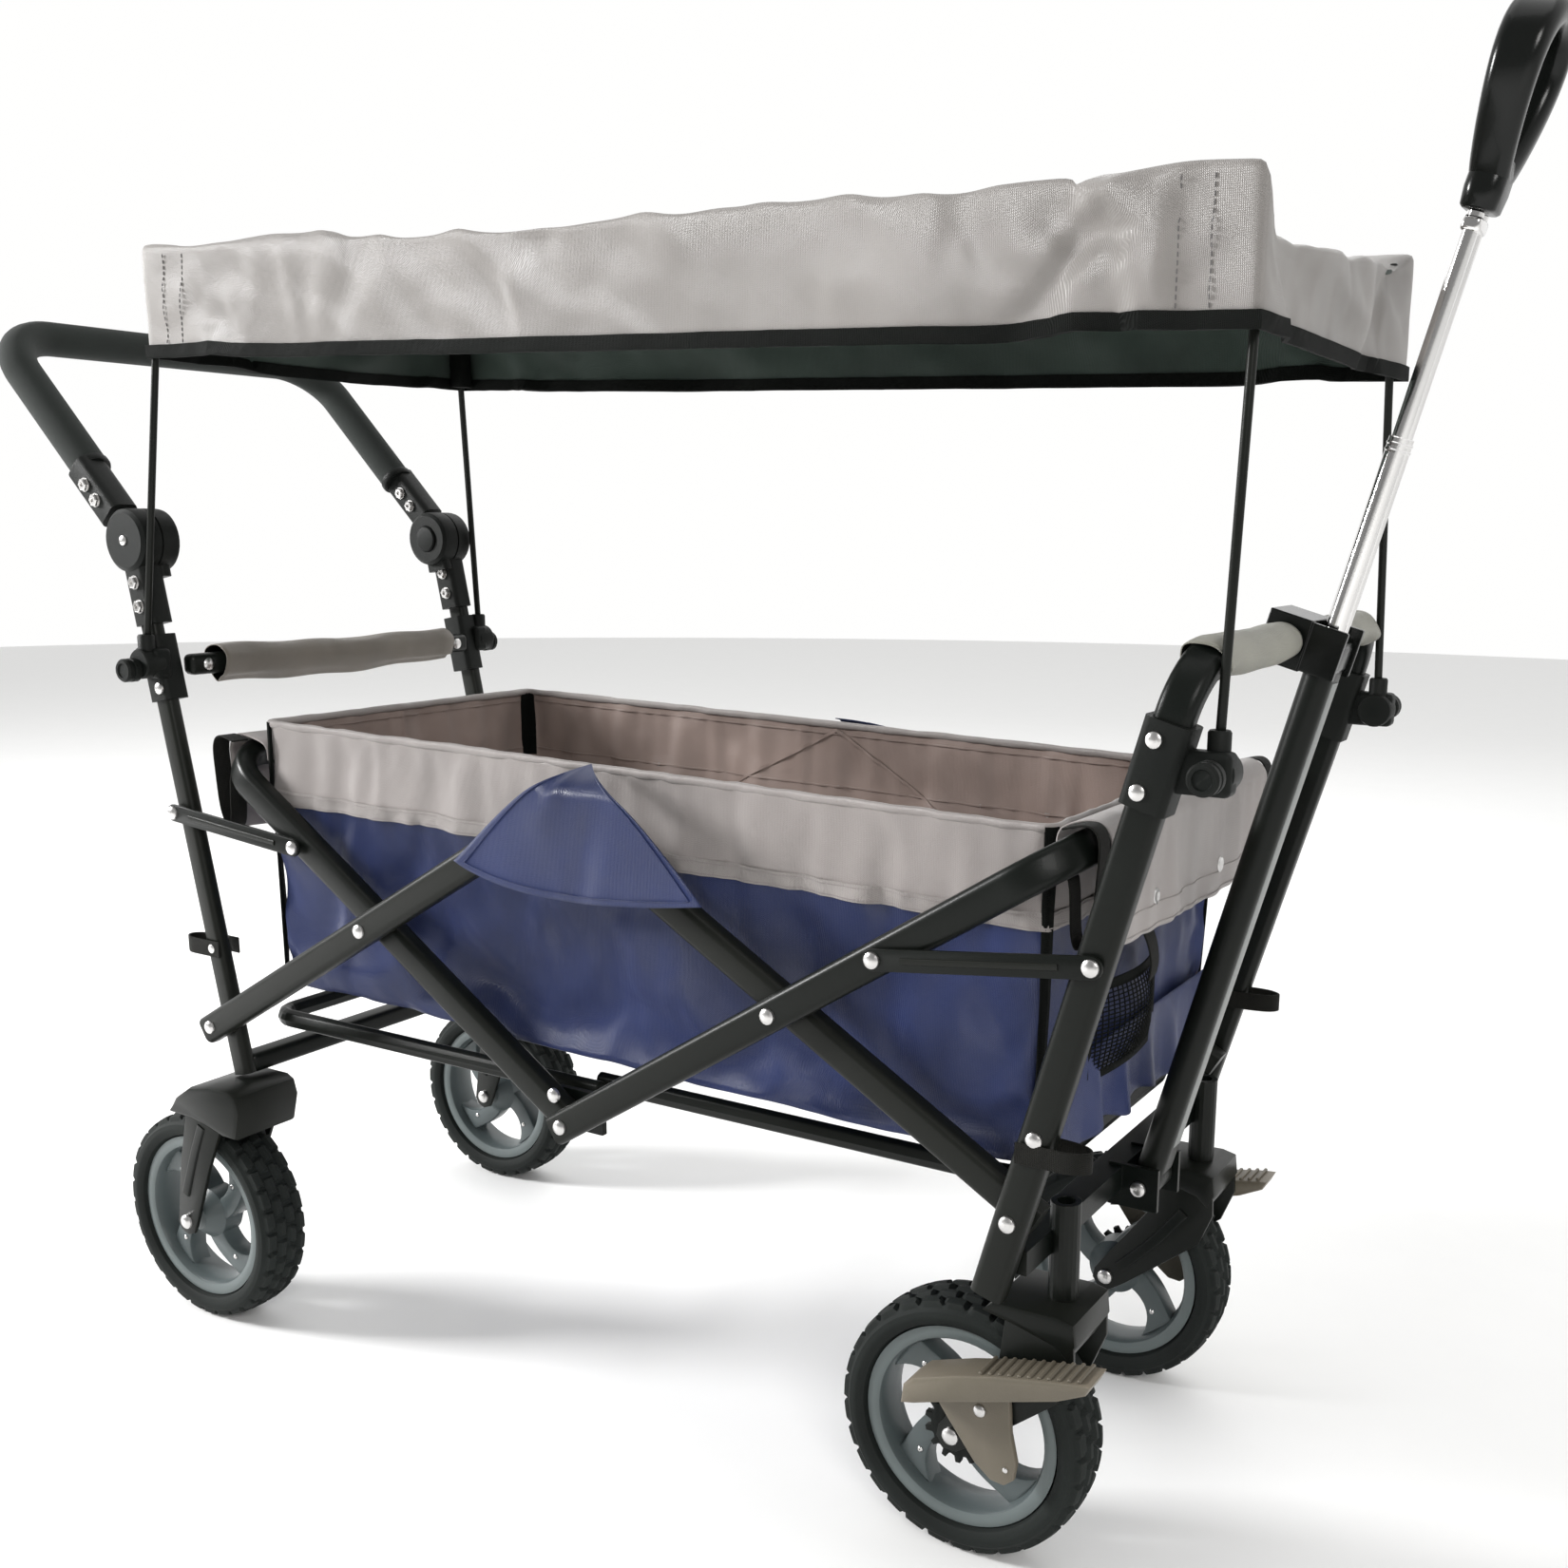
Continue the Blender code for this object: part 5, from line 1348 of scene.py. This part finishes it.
def make_tub_trim(wall):
    """Hem roll, band seam, lining seams, corner straps and the lining's triangles."""
    size = wall.size
    made = []
    hem = Form()
    rings = []
    for col in range(size):
        before, here, after = (wall.rows[0][(col + shift) % size] for shift in (-1, 0, 1))
        side = (after - before).normalized().cross(Vector((0, 0, 1)))
        roll = 1.0 + 0.22 * noise.noise(here * 38)
        rings.append([here + side * (u * roll - 0.0005) + Vector((0, 0, v * roll - 0.0012))
                      for u, v in circle(0.0027, 10, 1.25)])
    hem.rings(rings, closed=True)
    made.append(hem.make("tub_hem", GREY, "rear_frame", "grey_fabric", angle=0))
    seam = Form()
    wall.strip(seam, (0, size), (BAND_DROP - 0.0105, BAND_DROP + 0.0015), 0.0021, 0.0016, 2 * size)
    made.append(seam.make("tub_band_seam", SEAM, "rear_frame", "grey_fabric", angle=50))
    stitch = Form()
    for drop in (BAND_DROP - 0.0088, BAND_DROP - 0.0008):
        wall.strip(stitch, (0, size), (drop, drop + 0.0008), 0.0024, 0.0006, 2 * size)
    made.append(stitch.make("tub_band_stitch", GREY, "rear_frame", "grey_fabric", angle=50))
    lining = Form()
    for low, high in ((0.009, 0.0102), (BAND_DROP - 0.010, BAND_DROP - 0.0086),
                      (BAND_DROP + 0.001, BAND_DROP + 0.0024)):
        wall.strip(lining, (0, size), (low, high), -0.0008, 0.0009, 2 * size)
    for sign in SIDES.values():
        lining_triangle(lining, wall, sign)
    made.append(lining.make("tub_lining_seams", TAUPE, "rear_frame", "navy_fabric", angle=50))
    straps = Form()
    for spot in ((TUB_X[0], -TUB_Y), (TUB_X[1], -TUB_Y), (TUB_X[1], TUB_Y), (TUB_X[0], TUB_Y)):
        corner = min(range(size), key=lambda i: (wall.outline[i].xy - Vector(spot)).length)
        inner_end = 0.066 if spot[0] < 0 else 0.020
        wall.strip(straps, (corner - 1.0, corner + 1.0), (-0.002, inner_end), -0.0010, 0.0016, 8)
        wall.strip(straps, (corner - 0.65, corner + 0.65), (0.0, WALL_DROP), 0.0030, 0.0018, 8)
    made.append(straps.make("tub_corner_straps", BINDING, "rear_frame", "black_foam", angle=50))
    for obj in made:
        flatten(obj)
    return made


def lining_triangle(form, wall, sign):
    """Sewn edges of the triangular patch inside the side wall, opposite the outer flap."""
    apex, left, right = (0.078, 0.006), (-0.040, BAND_DROP), (0.188, BAND_DROP)
    for foot in (left, right):
        rings = []
        for step in range(31):
            share = step / 30
            x = apex[0] + (foot[0] - apex[0]) * share
            drop = apex[1] + (foot[1] - apex[1]) * share
            column = wall.column(x, sign)
            width = 0.0016
            rings.append([wall.spot(column, drop - width, -0.0008),
                          wall.spot(column, drop + width, -0.0008),
                          wall.spot(column, drop + width, -0.0018),
                          wall.spot(column, drop - width, -0.0018)])
        form.rings(rings)


FLAP_REACH = 0.0415


def ease_out(share):
    """How far over the braces the flap has come out, from the hem to its lower edge."""
    reach = min(1.0, share / 0.30)
    return math.sin(math.pi / 2 * reach)


def make_side_flap(side, sign):
    """Navy flap from the hem over the crossing of the braces."""
    rows = []
    count, across = 18, 30
    apex = Vector((0.070, tub_top(0.070) + 0.0035))
    left_path = smooth_path([(*apex, 0), (0.036, 0.5450, 0), (-0.001, 0.5150, 0), (-0.033, 0.485, 0)], 6)
    right_path = smooth_path([(*apex, 0), (0.115, 0.5430, 0), (0.160, 0.5130, 0), (0.204, 0.478, 0)], 6)
    for row in range(count + 1):
        share = row / count
        left = left_path[row]
        right = right_path[row]
        line = []
        for col in range(across + 1):
            s = col / across
            bow = 0.017 * share ** 2 * math.sin(math.pi * s ** 0.8)
            x = left.x + (right.x - left.x) * s + (0.05 + 0.60 * s) * FLAP_REACH * (ease_out(share) - share)
            z = left.y + (right.y - left.y) * s - bow
            out = 0.1765 + FLAP_REACH * ease_out(share)
            lean = 0.004 * share ** 3 * math.cos(2 * math.pi * (s - 0.1))
            fold = 0.0035 * math.exp(-((s - 0.30) / 0.10) ** 2) * math.sin(math.pi * min(1, share * 1.5))
            ripple = 0.0030 * share * noise.noise(Vector((x * 22, z * 16, sign * 3)))
            line.append(at((x, z), sign * (out + lean + fold + ripple)))
        rows.append(line)
    obj = cloth_grid(f"tub_flap_{side}", rows, closed=False)
    face_towards(obj, 1, sign)
    pins = [(row * (across + 1) + col, 1.0 if row < 4 else 0.55)
            for row in range(count + 1) for col in (range(across + 1) if row < 4 else (0, across))]
    settle(obj, pins, 16, 0.012, 18, 0.5)
    for vert in obj.data.vertices:
        row = vert.index // (across + 1)
        if row > 4:
            vert.co.y = sign * max(sign * vert.co.y, 0.2158)
    spots = [vert.co.copy() for vert in obj.data.vertices]
    finish_cloth(obj, [NAVY], 0.0010, offset=0.0)
    stitch = Form()
    border = [spots[row * (across + 1) + 1] for row in range(2, count)]
    border += [spots[(count - 1) * (across + 1) + col] for col in range(1, across)]
    border += [spots[row * (across + 1) + across - 1] for row in range(count - 1, 1, -1)]
    lifted = [spot + Vector((0, sign * 0.0009, 0)) for spot in border]
    stitch.sweep(lifted, circle(0.0005, 6), (0, 1, 0))
    line = stitch.make(f"tub_flap_stitch_{side}", NAVY, "rear_frame", "navy_fabric")
    flatten(line)


def face_towards(obj, axis, sign):
    """The cloth's outer face on the side that this axis and sign name."""
    if sum(face.normal[axis] * face.area for face in obj.data.polygons) * sign < 0:
        obj.data.flip_normals()


def make_end_panel(end, bar, wall_x, ahead):
    """Grey panel that comes out of the tub, folds over the top bar and snaps on the outside."""
    profile = [(wall_x, bar[1] - 0.004), (wall_x + ahead * 0.003, bar[1] + 0.010),
               (bar[0] - ahead * 0.006, bar[1] + 0.0168), (bar[0] + ahead * 0.004, bar[1] + 0.0166),
               (bar[0] + ahead * 0.0125, bar[1] + 0.0095), (bar[0] + ahead * 0.0155, bar[1] - 0.006),
               (bar[0] + ahead * 0.0160, bar[1] - 0.030), (bar[0] + ahead * 0.0145, bar[1] - 0.050),
               (bar[0] + ahead * 0.0125, bar[1] - 0.068)]
    spine = smooth_path([(x, z, 0) for x, z in profile], 4)
    across = 46
    rows = []
    for row, point in enumerate(spine):
        share = row / (len(spine) - 1)
        half = 0.166 + 0.002 * share
        line = []
        for col in range(across + 1):
            s = 2 * col / across - 1
            ripple = 0.0022 * share * noise.noise(Vector((s * 5, share * 3, ahead * 7)))
            dip = 0.003 * share * (1 - s * s)
            line.append(at((point.x + ahead * (ripple + 0.001), point.y - dip), s * half))
        rows.append(line)
    obj = cloth_grid(f"tub_{end}_panel", rows, closed=False)
    face_towards(obj, 0, ahead)
    held_rows = 18                                     # the rows over the bar, which stay where they are
    pins = [(row * (across + 1) + col, 1.0) for row in range(held_rows) for col in range(across + 1)]
    pins += [((len(spine) - 1) * (across + 1) + col, 0.8) for col in range(0, across + 1, 9)]
    settle(obj, pins, 16, 0.014, 18, 0.35)
    for vert in obj.data.vertices:
        if vert.index // (across + 1) >= held_rows:
            edge = bar[0] + MID_X + ahead * 0.0112
            vert.co.x = max(vert.co.x, edge) if ahead > 0 else min(vert.co.x, edge)
    spots = [vert.co.copy() for vert in obj.data.vertices]
    finish_cloth(obj, [GREY], 0.0012, offset=0.0)
    snaps = Form()
    row = len(spine) - 6
    for y in (-0.080, 0.050):
        spot = spots[row * (across + 1) + round((y / 0.168 + 1) / 2 * across)]
        turn = Matrix.Rotation(ahead * math.pi / 2, 4, "Y")
        snaps.lathe([(0.0062, -0.0008), (0.0062, 0.0010), (0.0052, 0.0019), (0.0036, 0.0016),
                     (0.0026, 0.0010), (0.0002, 0.0010)], Matrix.Translation(spot) @ turn, 24)
    studs = snaps.make(f"tub_{end}_snaps", ZINC, "rear_frame", "chrome")
    hem = Form()
    for offset_row in (2, 5):
        base = (len(spine) - offset_row) * (across + 1)
        path = [spots[base + col] + Vector((ahead * 0.0008, 0, 0)) for col in range(across + 1)]
        hem.sweep(path, circle(0.0005, 6), (1, 0, 0))
    seam = hem.make(f"tub_{end}_panel_stitch", SEAM, "rear_frame", "grey_fabric")
    for each in (studs, seam):
        flatten(each)


# ---- straps, pocket and skirt ----------------------------------------------------------------
def ribbon(form, path, normal, width, thick, where=Matrix.Identity(4)):
    """A strap whose flat side follows the path; its width runs along the normal."""
    return form.sweep(path, rounded_rect(thick, width, thick * 0.45, 2), normal, where=where)


def make_frame_loops():
    """Riveted webbing loops on the uprights and the front legs, for the folded wagon's straps."""
    for name, body, x, z, ahead, half_y in (("upright", "rear_frame", upright_x(0.36), 0.36, -1, INNER_Y),
                                            ("leg", "front_frame", leg_x(0.345), 0.345, 1, OUTER_Y)):
        for side, sign in SIDES.items():
            outer = half_y + TUBE_T / 2 + 0.0016
            near = half_y - TUBE_T / 2 - 0.0016
            points = [(x - ahead * 0.010, outer), (x + ahead * 0.012, outer),
                      (x + ahead * 0.030, outer - 0.001), (x + ahead * 0.040, half_y + 0.002),
                      (x + ahead * 0.033, near + 0.004), (x + ahead * 0.012, near),
                      (x - ahead * 0.010, near)]
            path = smooth_path([(px + MID_X, sign * py, z) for px, py in points], 6)
            loop = ribbon(Form(), path, (0, 0, 1), 0.0150, 0.0016)
            loop.make(f"{name}_loop_{side}", WEBBING, body, "black_foam")


def make_bar_straps():
    """Black straps round the ends of the tub's top bars, with their tails hanging."""
    for end, bar, ahead in (("rear", REAR_SCISSOR_TOP, -1), ("front", FRONT_SCISSOR_TOP, 1)):
        straps = Form()
        for sign in SIDES.values():
            points = [(-0.0120, 0.0135), (0.0060, 0.0170), (0.0138, 0.0080), (0.0135, -0.0150),
                      (0.0100, -0.0480), (0.0020, -0.0640), (-0.0030, -0.0560), (-0.0060, -0.0200),
                      (-0.0150, -0.0120)]
            path = smooth_path([(bar.x + MID_X + ahead * px, 0, bar.y + pz) for px, pz in points], 6)
            ribbon(straps, path, (0, 1, 0), 0.0170, 0.0015, Matrix.Translation((0, sign * 0.1770, 0)))
        flatten(straps.make(f"tub_{end}_bar_straps", WEBBING, "rear_frame", "black_foam"))


def make_front_skirt():
    """Loose navy skirt along the foot of the front wall, its lower edge in waves."""
    rows = []
    across = 60
    count = 9
    for row in range(count + 1):
        share = row / count
        line = []
        for col in range(across + 1):
            s = 2 * col / across - 1
            wave = 0.0052 * share * math.sin(5.5 * math.pi * s + 0.8 * math.sin(3 * s))
            x = TUB_X[1] + 0.0035 + 0.012 * share ** 1.3 + wave
            z = 0.384 - 0.062 * share + 0.004 * share * math.cos(4 * math.pi * s)
            line.append(at((x, z), 0.158 * s * (1 + 0.02 * share)))
        rows.append(line)
    obj = cloth_grid("tub_front_skirt", rows, closed=False)
    pins = [(row * (across + 1) + col, 1.0) for row in range(2) for col in range(across + 1)]
    settle(obj, pins, 14, 0.010, 18, 0.3, 0.5)
    for vert in obj.data.vertices:
        vert.co.x = max(vert.co.x, TUB_X[1] + MID_X + 0.0030)
    face_towards(obj, 0, 1)
    finish_cloth(obj, [NAVY], 0.0010, offset=0.0)


def make_front_pocket():
    """Net pocket with a bound top edge on the front wall, and the webbing that closes it."""
    y_low, y_high = -0.105, 0.018
    z_low, z_high = 0.362, 0.428

    def spot(s, t):
        swell = 0.016 * math.sin(math.pi * s) * (0.35 + 0.65 * math.sin(math.pi * t * 0.85))
        return at((TUB_X[1] + 0.0040 + swell, z_low + (z_high - z_low) * t), y_low + (y_high - y_low) * s)

    net = Form()
    strand = circle(0.00055, 5)
    count = 21
    for k in range(1, count):
        for path in ([spot(k / count, j / 14) for j in range(15)],
                     [spot(j / 14, k / count) for j in range(15)]):
            run = (path[-1] - path[0]).normalized()
            net.sweep(path, strand, (0, 1, 0) if abs(run.z) > 0.5 else (0, 0, 1))
    ribbon(net, [spot(j / 20, 1.0) for j in range(21)], (0, 0, 1), 0.0080, 0.0016)
    ribbon(net, [spot(j / 20, 0.0) for j in range(21)], (0, 0, 1), 0.0060, 0.0014)
    for s in (0.0, 1.0):
        ribbon(net, [spot(s, j / 4) for j in range(5)], (0, 1, 0), 0.0060, 0.0014)
    flatten(net.make("tub_front_net_pocket", BINDING, "rear_frame", "black_foam", angle=50))
    strap = Form()
    x = TUB_X[1] + 0.0055
    points = [(x + 0.010, 0.492, -0.058), (x + 0.013, 0.472, -0.050), (x + 0.017, 0.450, -0.038),
              (x + 0.016, 0.432, -0.028), (x + 0.013, 0.420, -0.024)]
    path = smooth_path([(px + MID_X, py, pz) for px, pz, py in points], 6)
    ribbon(strap, path, (0, 1, 0.2), 0.0160, 0.0015)
    flatten(strap.make("tub_front_webbing", WEBBING, "rear_frame", "black_foam"))


# ---- canopy ----------------------------------------------------------------------------------
CANOPY_Y = 0.187
CANOPY_NX = 98
CANOPY_NY = 37
SKIRT_ROWS = 10
CANOPY_HEM_TOP = 0.893
CANOPY_LONG = CANOPY_X[1] - CANOPY_X[0]
ROOF_TOP = 0.9715                                      # the roof at the rear, which falls to the front
ROOF_FALL = 0.020
HEM_FALL = 0.0205
VALANCE = 0.092


def canopy_share(x):
    """How far forward along the canopy, from 0 at the rear to 1 at the front."""
    return (x - CANOPY_X[0]) / CANOPY_LONG


def canopy_height(x, y):
    """Height of the roof before it settles: corners held by the rods, the front edge slack."""
    along = canopy_share(x)
    near = (1 - y / CANOPY_Y) / 2
    base = ROOF_TOP - ROOF_FALL * along + 0.003 * near * along
    ear = -0.002 * near * max(0.0, (along - 0.86) / 0.14) ** 1.5
    edge_gap = min(1.0, (CANOPY_Y - abs(y)) / 0.026)
    front = max(0.0, (along - 0.90) / 0.10)
    dip = (0.010 + 0.034 * near) * front * edge_gap * edge_gap * (3 - 2 * edge_gap)
    belly = 0.004 * math.sin(math.pi * along) * (1 - 0.4 * (y / CANOPY_Y) ** 2)
    return base + ear - dip - belly


def make_canopy():
    xs = [CANOPY_X[0] + CANOPY_LONG * i / CANOPY_NX for i in range(CANOPY_NX + 1)]
    ys = [CANOPY_Y * (2 * j / CANOPY_NY - 1) for j in range(CANOPY_NY + 1)]
    verts = [at((x, canopy_height(x, y)), y) for y in ys for x in xs]
    wide = CANOPY_NX + 1
    faces = [(j * wide + i, j * wide + i + 1, (j + 1) * wide + i + 1, (j + 1) * wide + i)
             for j in range(CANOPY_NY) for i in range(CANOPY_NX)]
    ring = list(range(CANOPY_NX)) + [j * wide + CANOPY_NX for j in range(CANOPY_NY)]
    ring += [CANOPY_NY * wide + CANOPY_NX - i for i in range(CANOPY_NX)]
    ring += [(CANOPY_NY - j) * wide for j in range(CANOPY_NY)]
    around = len(ring)
    last = ring
    skirt_rings = [ring]
    for row in range(1, SKIRT_ROWS + 1):
        share = row / SKIRT_ROWS
        fresh = []
        for index in ring:
            top = verts[index]
            x = top.x - MID_X
            along = canopy_share(x)
            bottom = 0.8795 - HEM_FALL * along + 0.003 * math.sin(math.pi * along)
            flare = 0.0025 * noise.noise(Vector((top.x * 11, top.y * 11, share * 2)))
            out_y = math.copysign(flare, top.y) if abs(top.y) > CANOPY_Y - 0.001 else 0
            out_x = math.copysign(flare, x) if abs(top.y) < CANOPY_Y - 0.001 else 0
            fresh.append(len(verts))
            verts.append(Vector((top.x + out_x, top.y + out_y, top.z + (bottom - top.z) * share)))
        for k in range(around):
            nxt = (k + 1) % around
            faces.append((last[k], fresh[k], fresh[nxt], last[nxt]))
        skirt_rings.append(fresh)
        last = fresh
    mesh = bpy.data.meshes.new("canopy_cloth")
    mesh.from_pydata([tuple(vert) for vert in verts], [], faces)
    obj = link_object("canopy_cloth", mesh)
    recalculate(mesh)
    face_towards(obj, 2, 1)
    settle(obj, canopy_pins(verts), 40, 0.012, 80, 0.06, 0.08)
    crumple(obj, canopy_folds)
    spots = [vert.co.copy() for vert in mesh.vertices]
    for each in (CANOPY_TOP, CANOPY_UNDERSIDE_SHADE):
        mesh.materials.append(each)
    mesh.shade_smooth()
    make_finer(obj)
    skin = obj.modifiers.new("skin", "SOLIDIFY")
    skin.thickness = 0.0011
    skin.offset = -1
    # The inner face takes the dark underside colour, which is painted shade
    skin.material_offset = 1
    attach(obj, "rear_frame")
    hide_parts("canopy")
    flatten(obj)
    trim = make_canopy_trim(spots, skirt_rings, ring)


def canopy_folds(spot):
    """Soft swells all over, and small slanting creases low on the valances."""
    x = spot.x - MID_X
    low = min(max((ROOF_TOP - ROOF_FALL * canopy_share(x) - spot.z) / VALANCE, 0.0), 1.0)
    gap = min(abs(x - CANOPY_X[0]), abs(CANOPY_X[1] - x)) + CANOPY_Y - abs(spot.y)
    calm = min(1.0, gap / 0.10)
    broad = 0.0085 * folds(spot, 0.115, 0.9, 2.0)
    fine = 0.0085 * math.sin(math.pi * min(1.0, 0.30 + 0.70 * low)) * low * folds(spot, 0.042, 1.1, 6.0)
    return calm * (broad * (1 - 0.55 * low) + fine)


def canopy_pins(verts):
    """Corners held by the rods, the long edges held lightly and the hem hardly at all."""
    pins = []
    for index, vert in enumerate(verts):
        x = vert.x - MID_X
        gap_x = min(x - CANOPY_X[0], CANOPY_X[1] - x)
        gap_y = CANOPY_Y - abs(vert.y)
        if gap_x < 0.020 and gap_y < 0.020:
            pins.append((index, 1.0))
        elif gap_x < 0.040 and gap_y < 0.040:
            pins.append((index, 0.35))
        elif gap_y < 0.001 and vert.z > canopy_height(x, vert.y) - 0.002:
            pins.append((index, 0.25))
        elif vert.z < CANOPY_HEM_TOP - HEM_FALL * (x - CANOPY_X[0]) / CANOPY_LONG:
            pins.append((index, 0.03))
    return pins


def make_canopy_trim(spots, skirt_rings, ring):
    """Dark hem, black corner pockets inside and dashed stitches on the corner patches."""
    made = []
    rings = []
    low, above = skirt_rings[-1], skirt_rings[-2]
    around = len(low)
    for k in range(around):
        here = spots[low[k]]
        up = (spots[above[k]] - here).normalized()
        run = (spots[low[(k + 1) % around]] - spots[low[k - 1]]).normalized()
        out = run.cross(up).normalized()
        rings.append([here + out * u + up * v for u, v in
                      ((-0.0022, -0.0016), (0.0014, -0.0016), (0.0017, 0.0), (0.0014, 0.0092),
                       (-0.0022, 0.0092), (-0.0026, 0.0))])
    hem = Form().rings(rings, closed=True)
    made.append(hem.make("canopy_hem", BINDING, "rear_frame", "black_foam", angle=50))
    pockets = Form()
    outline = rounded_rect(0.020, 0.017, 0.006)
    for x_rod, y_rod, ahead, drop in ((-0.3975, 0.1760, 1, 0.0), (0.5670, 0.1610, -1, 0.010)):
        for sign in SIDES.values():
            base = at((x_rod + ahead * 0.006, 0.0), sign * (y_rod - 0.002))
            pockets.rings([[base + Vector((u, v, height - drop)) for u, v in outline]
                           for height in (0.880, 0.884, 0.910, 0.934)])
    made.append(pockets.make("canopy_pockets", BINDING, "rear_frame", "black_foam"))
    threads = Form()
    for k in range(around):
        here = spots[ring[k]]
        x = here.x - MID_X
        side_wall = (abs(abs(spots[low[k]].y) - CANOPY_Y) < 0.02
                     and CANOPY_X[0] + 0.01 < x < CANOPY_X[1] - 0.01)
        if not side_wall or all(abs(x - CANOPY_X[0] - gap) >= 0.0050 and abs(CANOPY_X[1] - x - gap) >= 0.0050
                                for gap in (0.030, 0.046)):
            continue
        for row in range(1, SKIRT_ROWS - 1):
            top, foot = spots[skirt_rings[row][k]], spots[skirt_rings[row + 1][k]]
            for start in (0.10, 0.60):
                a, b = top.lerp(foot, start), top.lerp(foot, start + 0.30)
                lift = Vector((0, math.copysign(0.0006, here.y), 0))
                threads.sweep([a + lift, b + lift], circle(0.00045, 6), (0, 1, 0))
    made.append(threads.make("canopy_stitches", THREAD, "rear_frame", "grey_fabric"))
    for obj in made:
        flatten(obj)
    return made


# ---- light and camera ------------------------------------------------------------------------
def make_light(name, spot, target, size, power, warmth=(1.0, 1.0, 1.0)):
    data = bpy.data.lights.new(name, "AREA")
    data.shape = "RECTANGLE"
    data.size, data.size_y = size
    data.energy = power
    data.color = warmth
    lamp = link_object(name, data)
    lamp.location = spot
    lamp.rotation_euler = (Vector(target) - Vector(spot)).to_track_quat("-Z", "Y").to_euler()


def make_studio():
    middle = (0, 0, 0.5)
    make_light("key_light", (-3.3, -1.7, 1.9), middle, (0.9, 0.9), 210)
    make_light("fill_light", (2.6, -2.8, 2.4), middle, (1.2, 1.2), 60, (1.0, 0.99, 0.97))
    make_light("back_light", (-0.8, 3.2, 2.6), middle, (3.0, 1.6), 20)
    make_light("top_light", (0.3, 0.2, 3.6), middle, (2.6, 2.6), 18)
    world = bpy.data.worlds.new("studio")
    bpy.context.scene.world = world
    world.use_nodes = True
    tree = world.node_tree
    links = tree.links
    sky = tree.nodes["Background"]
    sky.inputs["Color"].default_value = (1.0, 0.998, 0.992, 1)
    coords = add_node(tree, "TexCoord")
    split = add_node(tree, "SeparateXYZ")
    ramp = add_node(tree, "MapRange", From_Min=-0.6, From_Max=0.15, To_Min=0.26, To_Max=1.0)
    links.new(coords.outputs["Generated"], split.inputs["Vector"])
    links.new(split.outputs["Y"], ramp.inputs["Value"])
    links.new(ramp.outputs["Result"], sky.inputs["Strength"])
    make_floor()


def make_floor():
    """A round white floor, wide enough to fill the view."""
    floor_mesh = bpy.data.meshes.new("floor")
    verts = [(0, 0, 0)]
    faces = []
    around = 96
    radii = (0.9, 2.0, 3.6, 9.0)
    for radius in radii:
        for index in range(around):
            turn = 2 * math.pi * index / around
            verts.append((radius * math.cos(turn), radius * math.sin(turn), 0))
    for index in range(around):
        nxt = (index + 1) % around
        faces.append((0, 1 + index, 1 + nxt))
        for ring in range(len(radii) - 1):
            a = 1 + ring * around
            faces.append((a + index, a + around + index, a + around + nxt, a + nxt))
    floor_mesh.from_pydata(verts, [], faces)
    floor = link_object("floor", floor_mesh)
    floor_mesh.materials.append(material("white_floor", (0.93, 0.93, 0.925), 0.62, grain=0.1, mottle_and_shade=0.006,
                                         rough_spread=0.03))


def make_camera():
    """The camera stands off the front right corner and looks a little down."""
    yaw, pitch, roll = math.radians(29.686), math.radians(11.691), math.radians(0.676)
    ahead = Vector((-math.sin(yaw) * math.cos(pitch), math.cos(yaw) * math.cos(pitch), -math.sin(pitch)))
    right = Vector((math.cos(yaw), math.sin(yaw), 0))
    above = right.cross(ahead)
    rolled_right = right * math.cos(roll) + above * math.sin(roll)
    rolled_above = above * math.cos(roll) - right * math.sin(roll)
    turn = Matrix((rolled_right, rolled_above, -ahead)).transposed().to_4x4()
    data = bpy.data.cameras.new("camera")
    data.lens = 36.72
    data.sensor_width = 36
    data.shift_x = -0.0678
    data.shift_y = 0.0432
    data.clip_end = 60
    camera = link_object("camera", data)
    camera.matrix_world = Matrix.Translation((0.8667 + MID_X, -1.1127, 0.7485)) @ turn
    bpy.context.scene.camera = camera
    bpy.context.scene.view_settings.view_transform = "Standard"


make_tubes()
make_rivets()
make_wheels()
for side, sign in SIDES.items():
    make_rear_fork(side, sign)
    make_caster(side, sign)
    make_pedal(side, sign)
    make_clamp("rear", side, sign, "rear_frame", 0.583, 0.640, INNER_Y, upright_x, *REAR_SOCKET)
    make_clamp("front", side, sign, "front_frame", 0.580, 0.634, OUTER_Y, leg_x, *FRONT_SOCKET)
make_push_bar()
make_grab_bar()
make_top_sleeves()
make_handle()
make_rods()
finish_cad_nodes()
make_tub()
for side, sign in SIDES.items():
    make_side_flap(side, sign)
make_end_panel("front", FRONT_SCISSOR_TOP, TUB_X[1] - 0.001, 1)
make_end_panel("rear", REAR_SCISSOR_TOP, TUB_X[0] + 0.001, -1)
make_bar_straps()
make_front_skirt()
make_front_pocket()
make_frame_loops()
make_canopy()
make_studio()
make_camera()

bpy.context.view_layer.update()
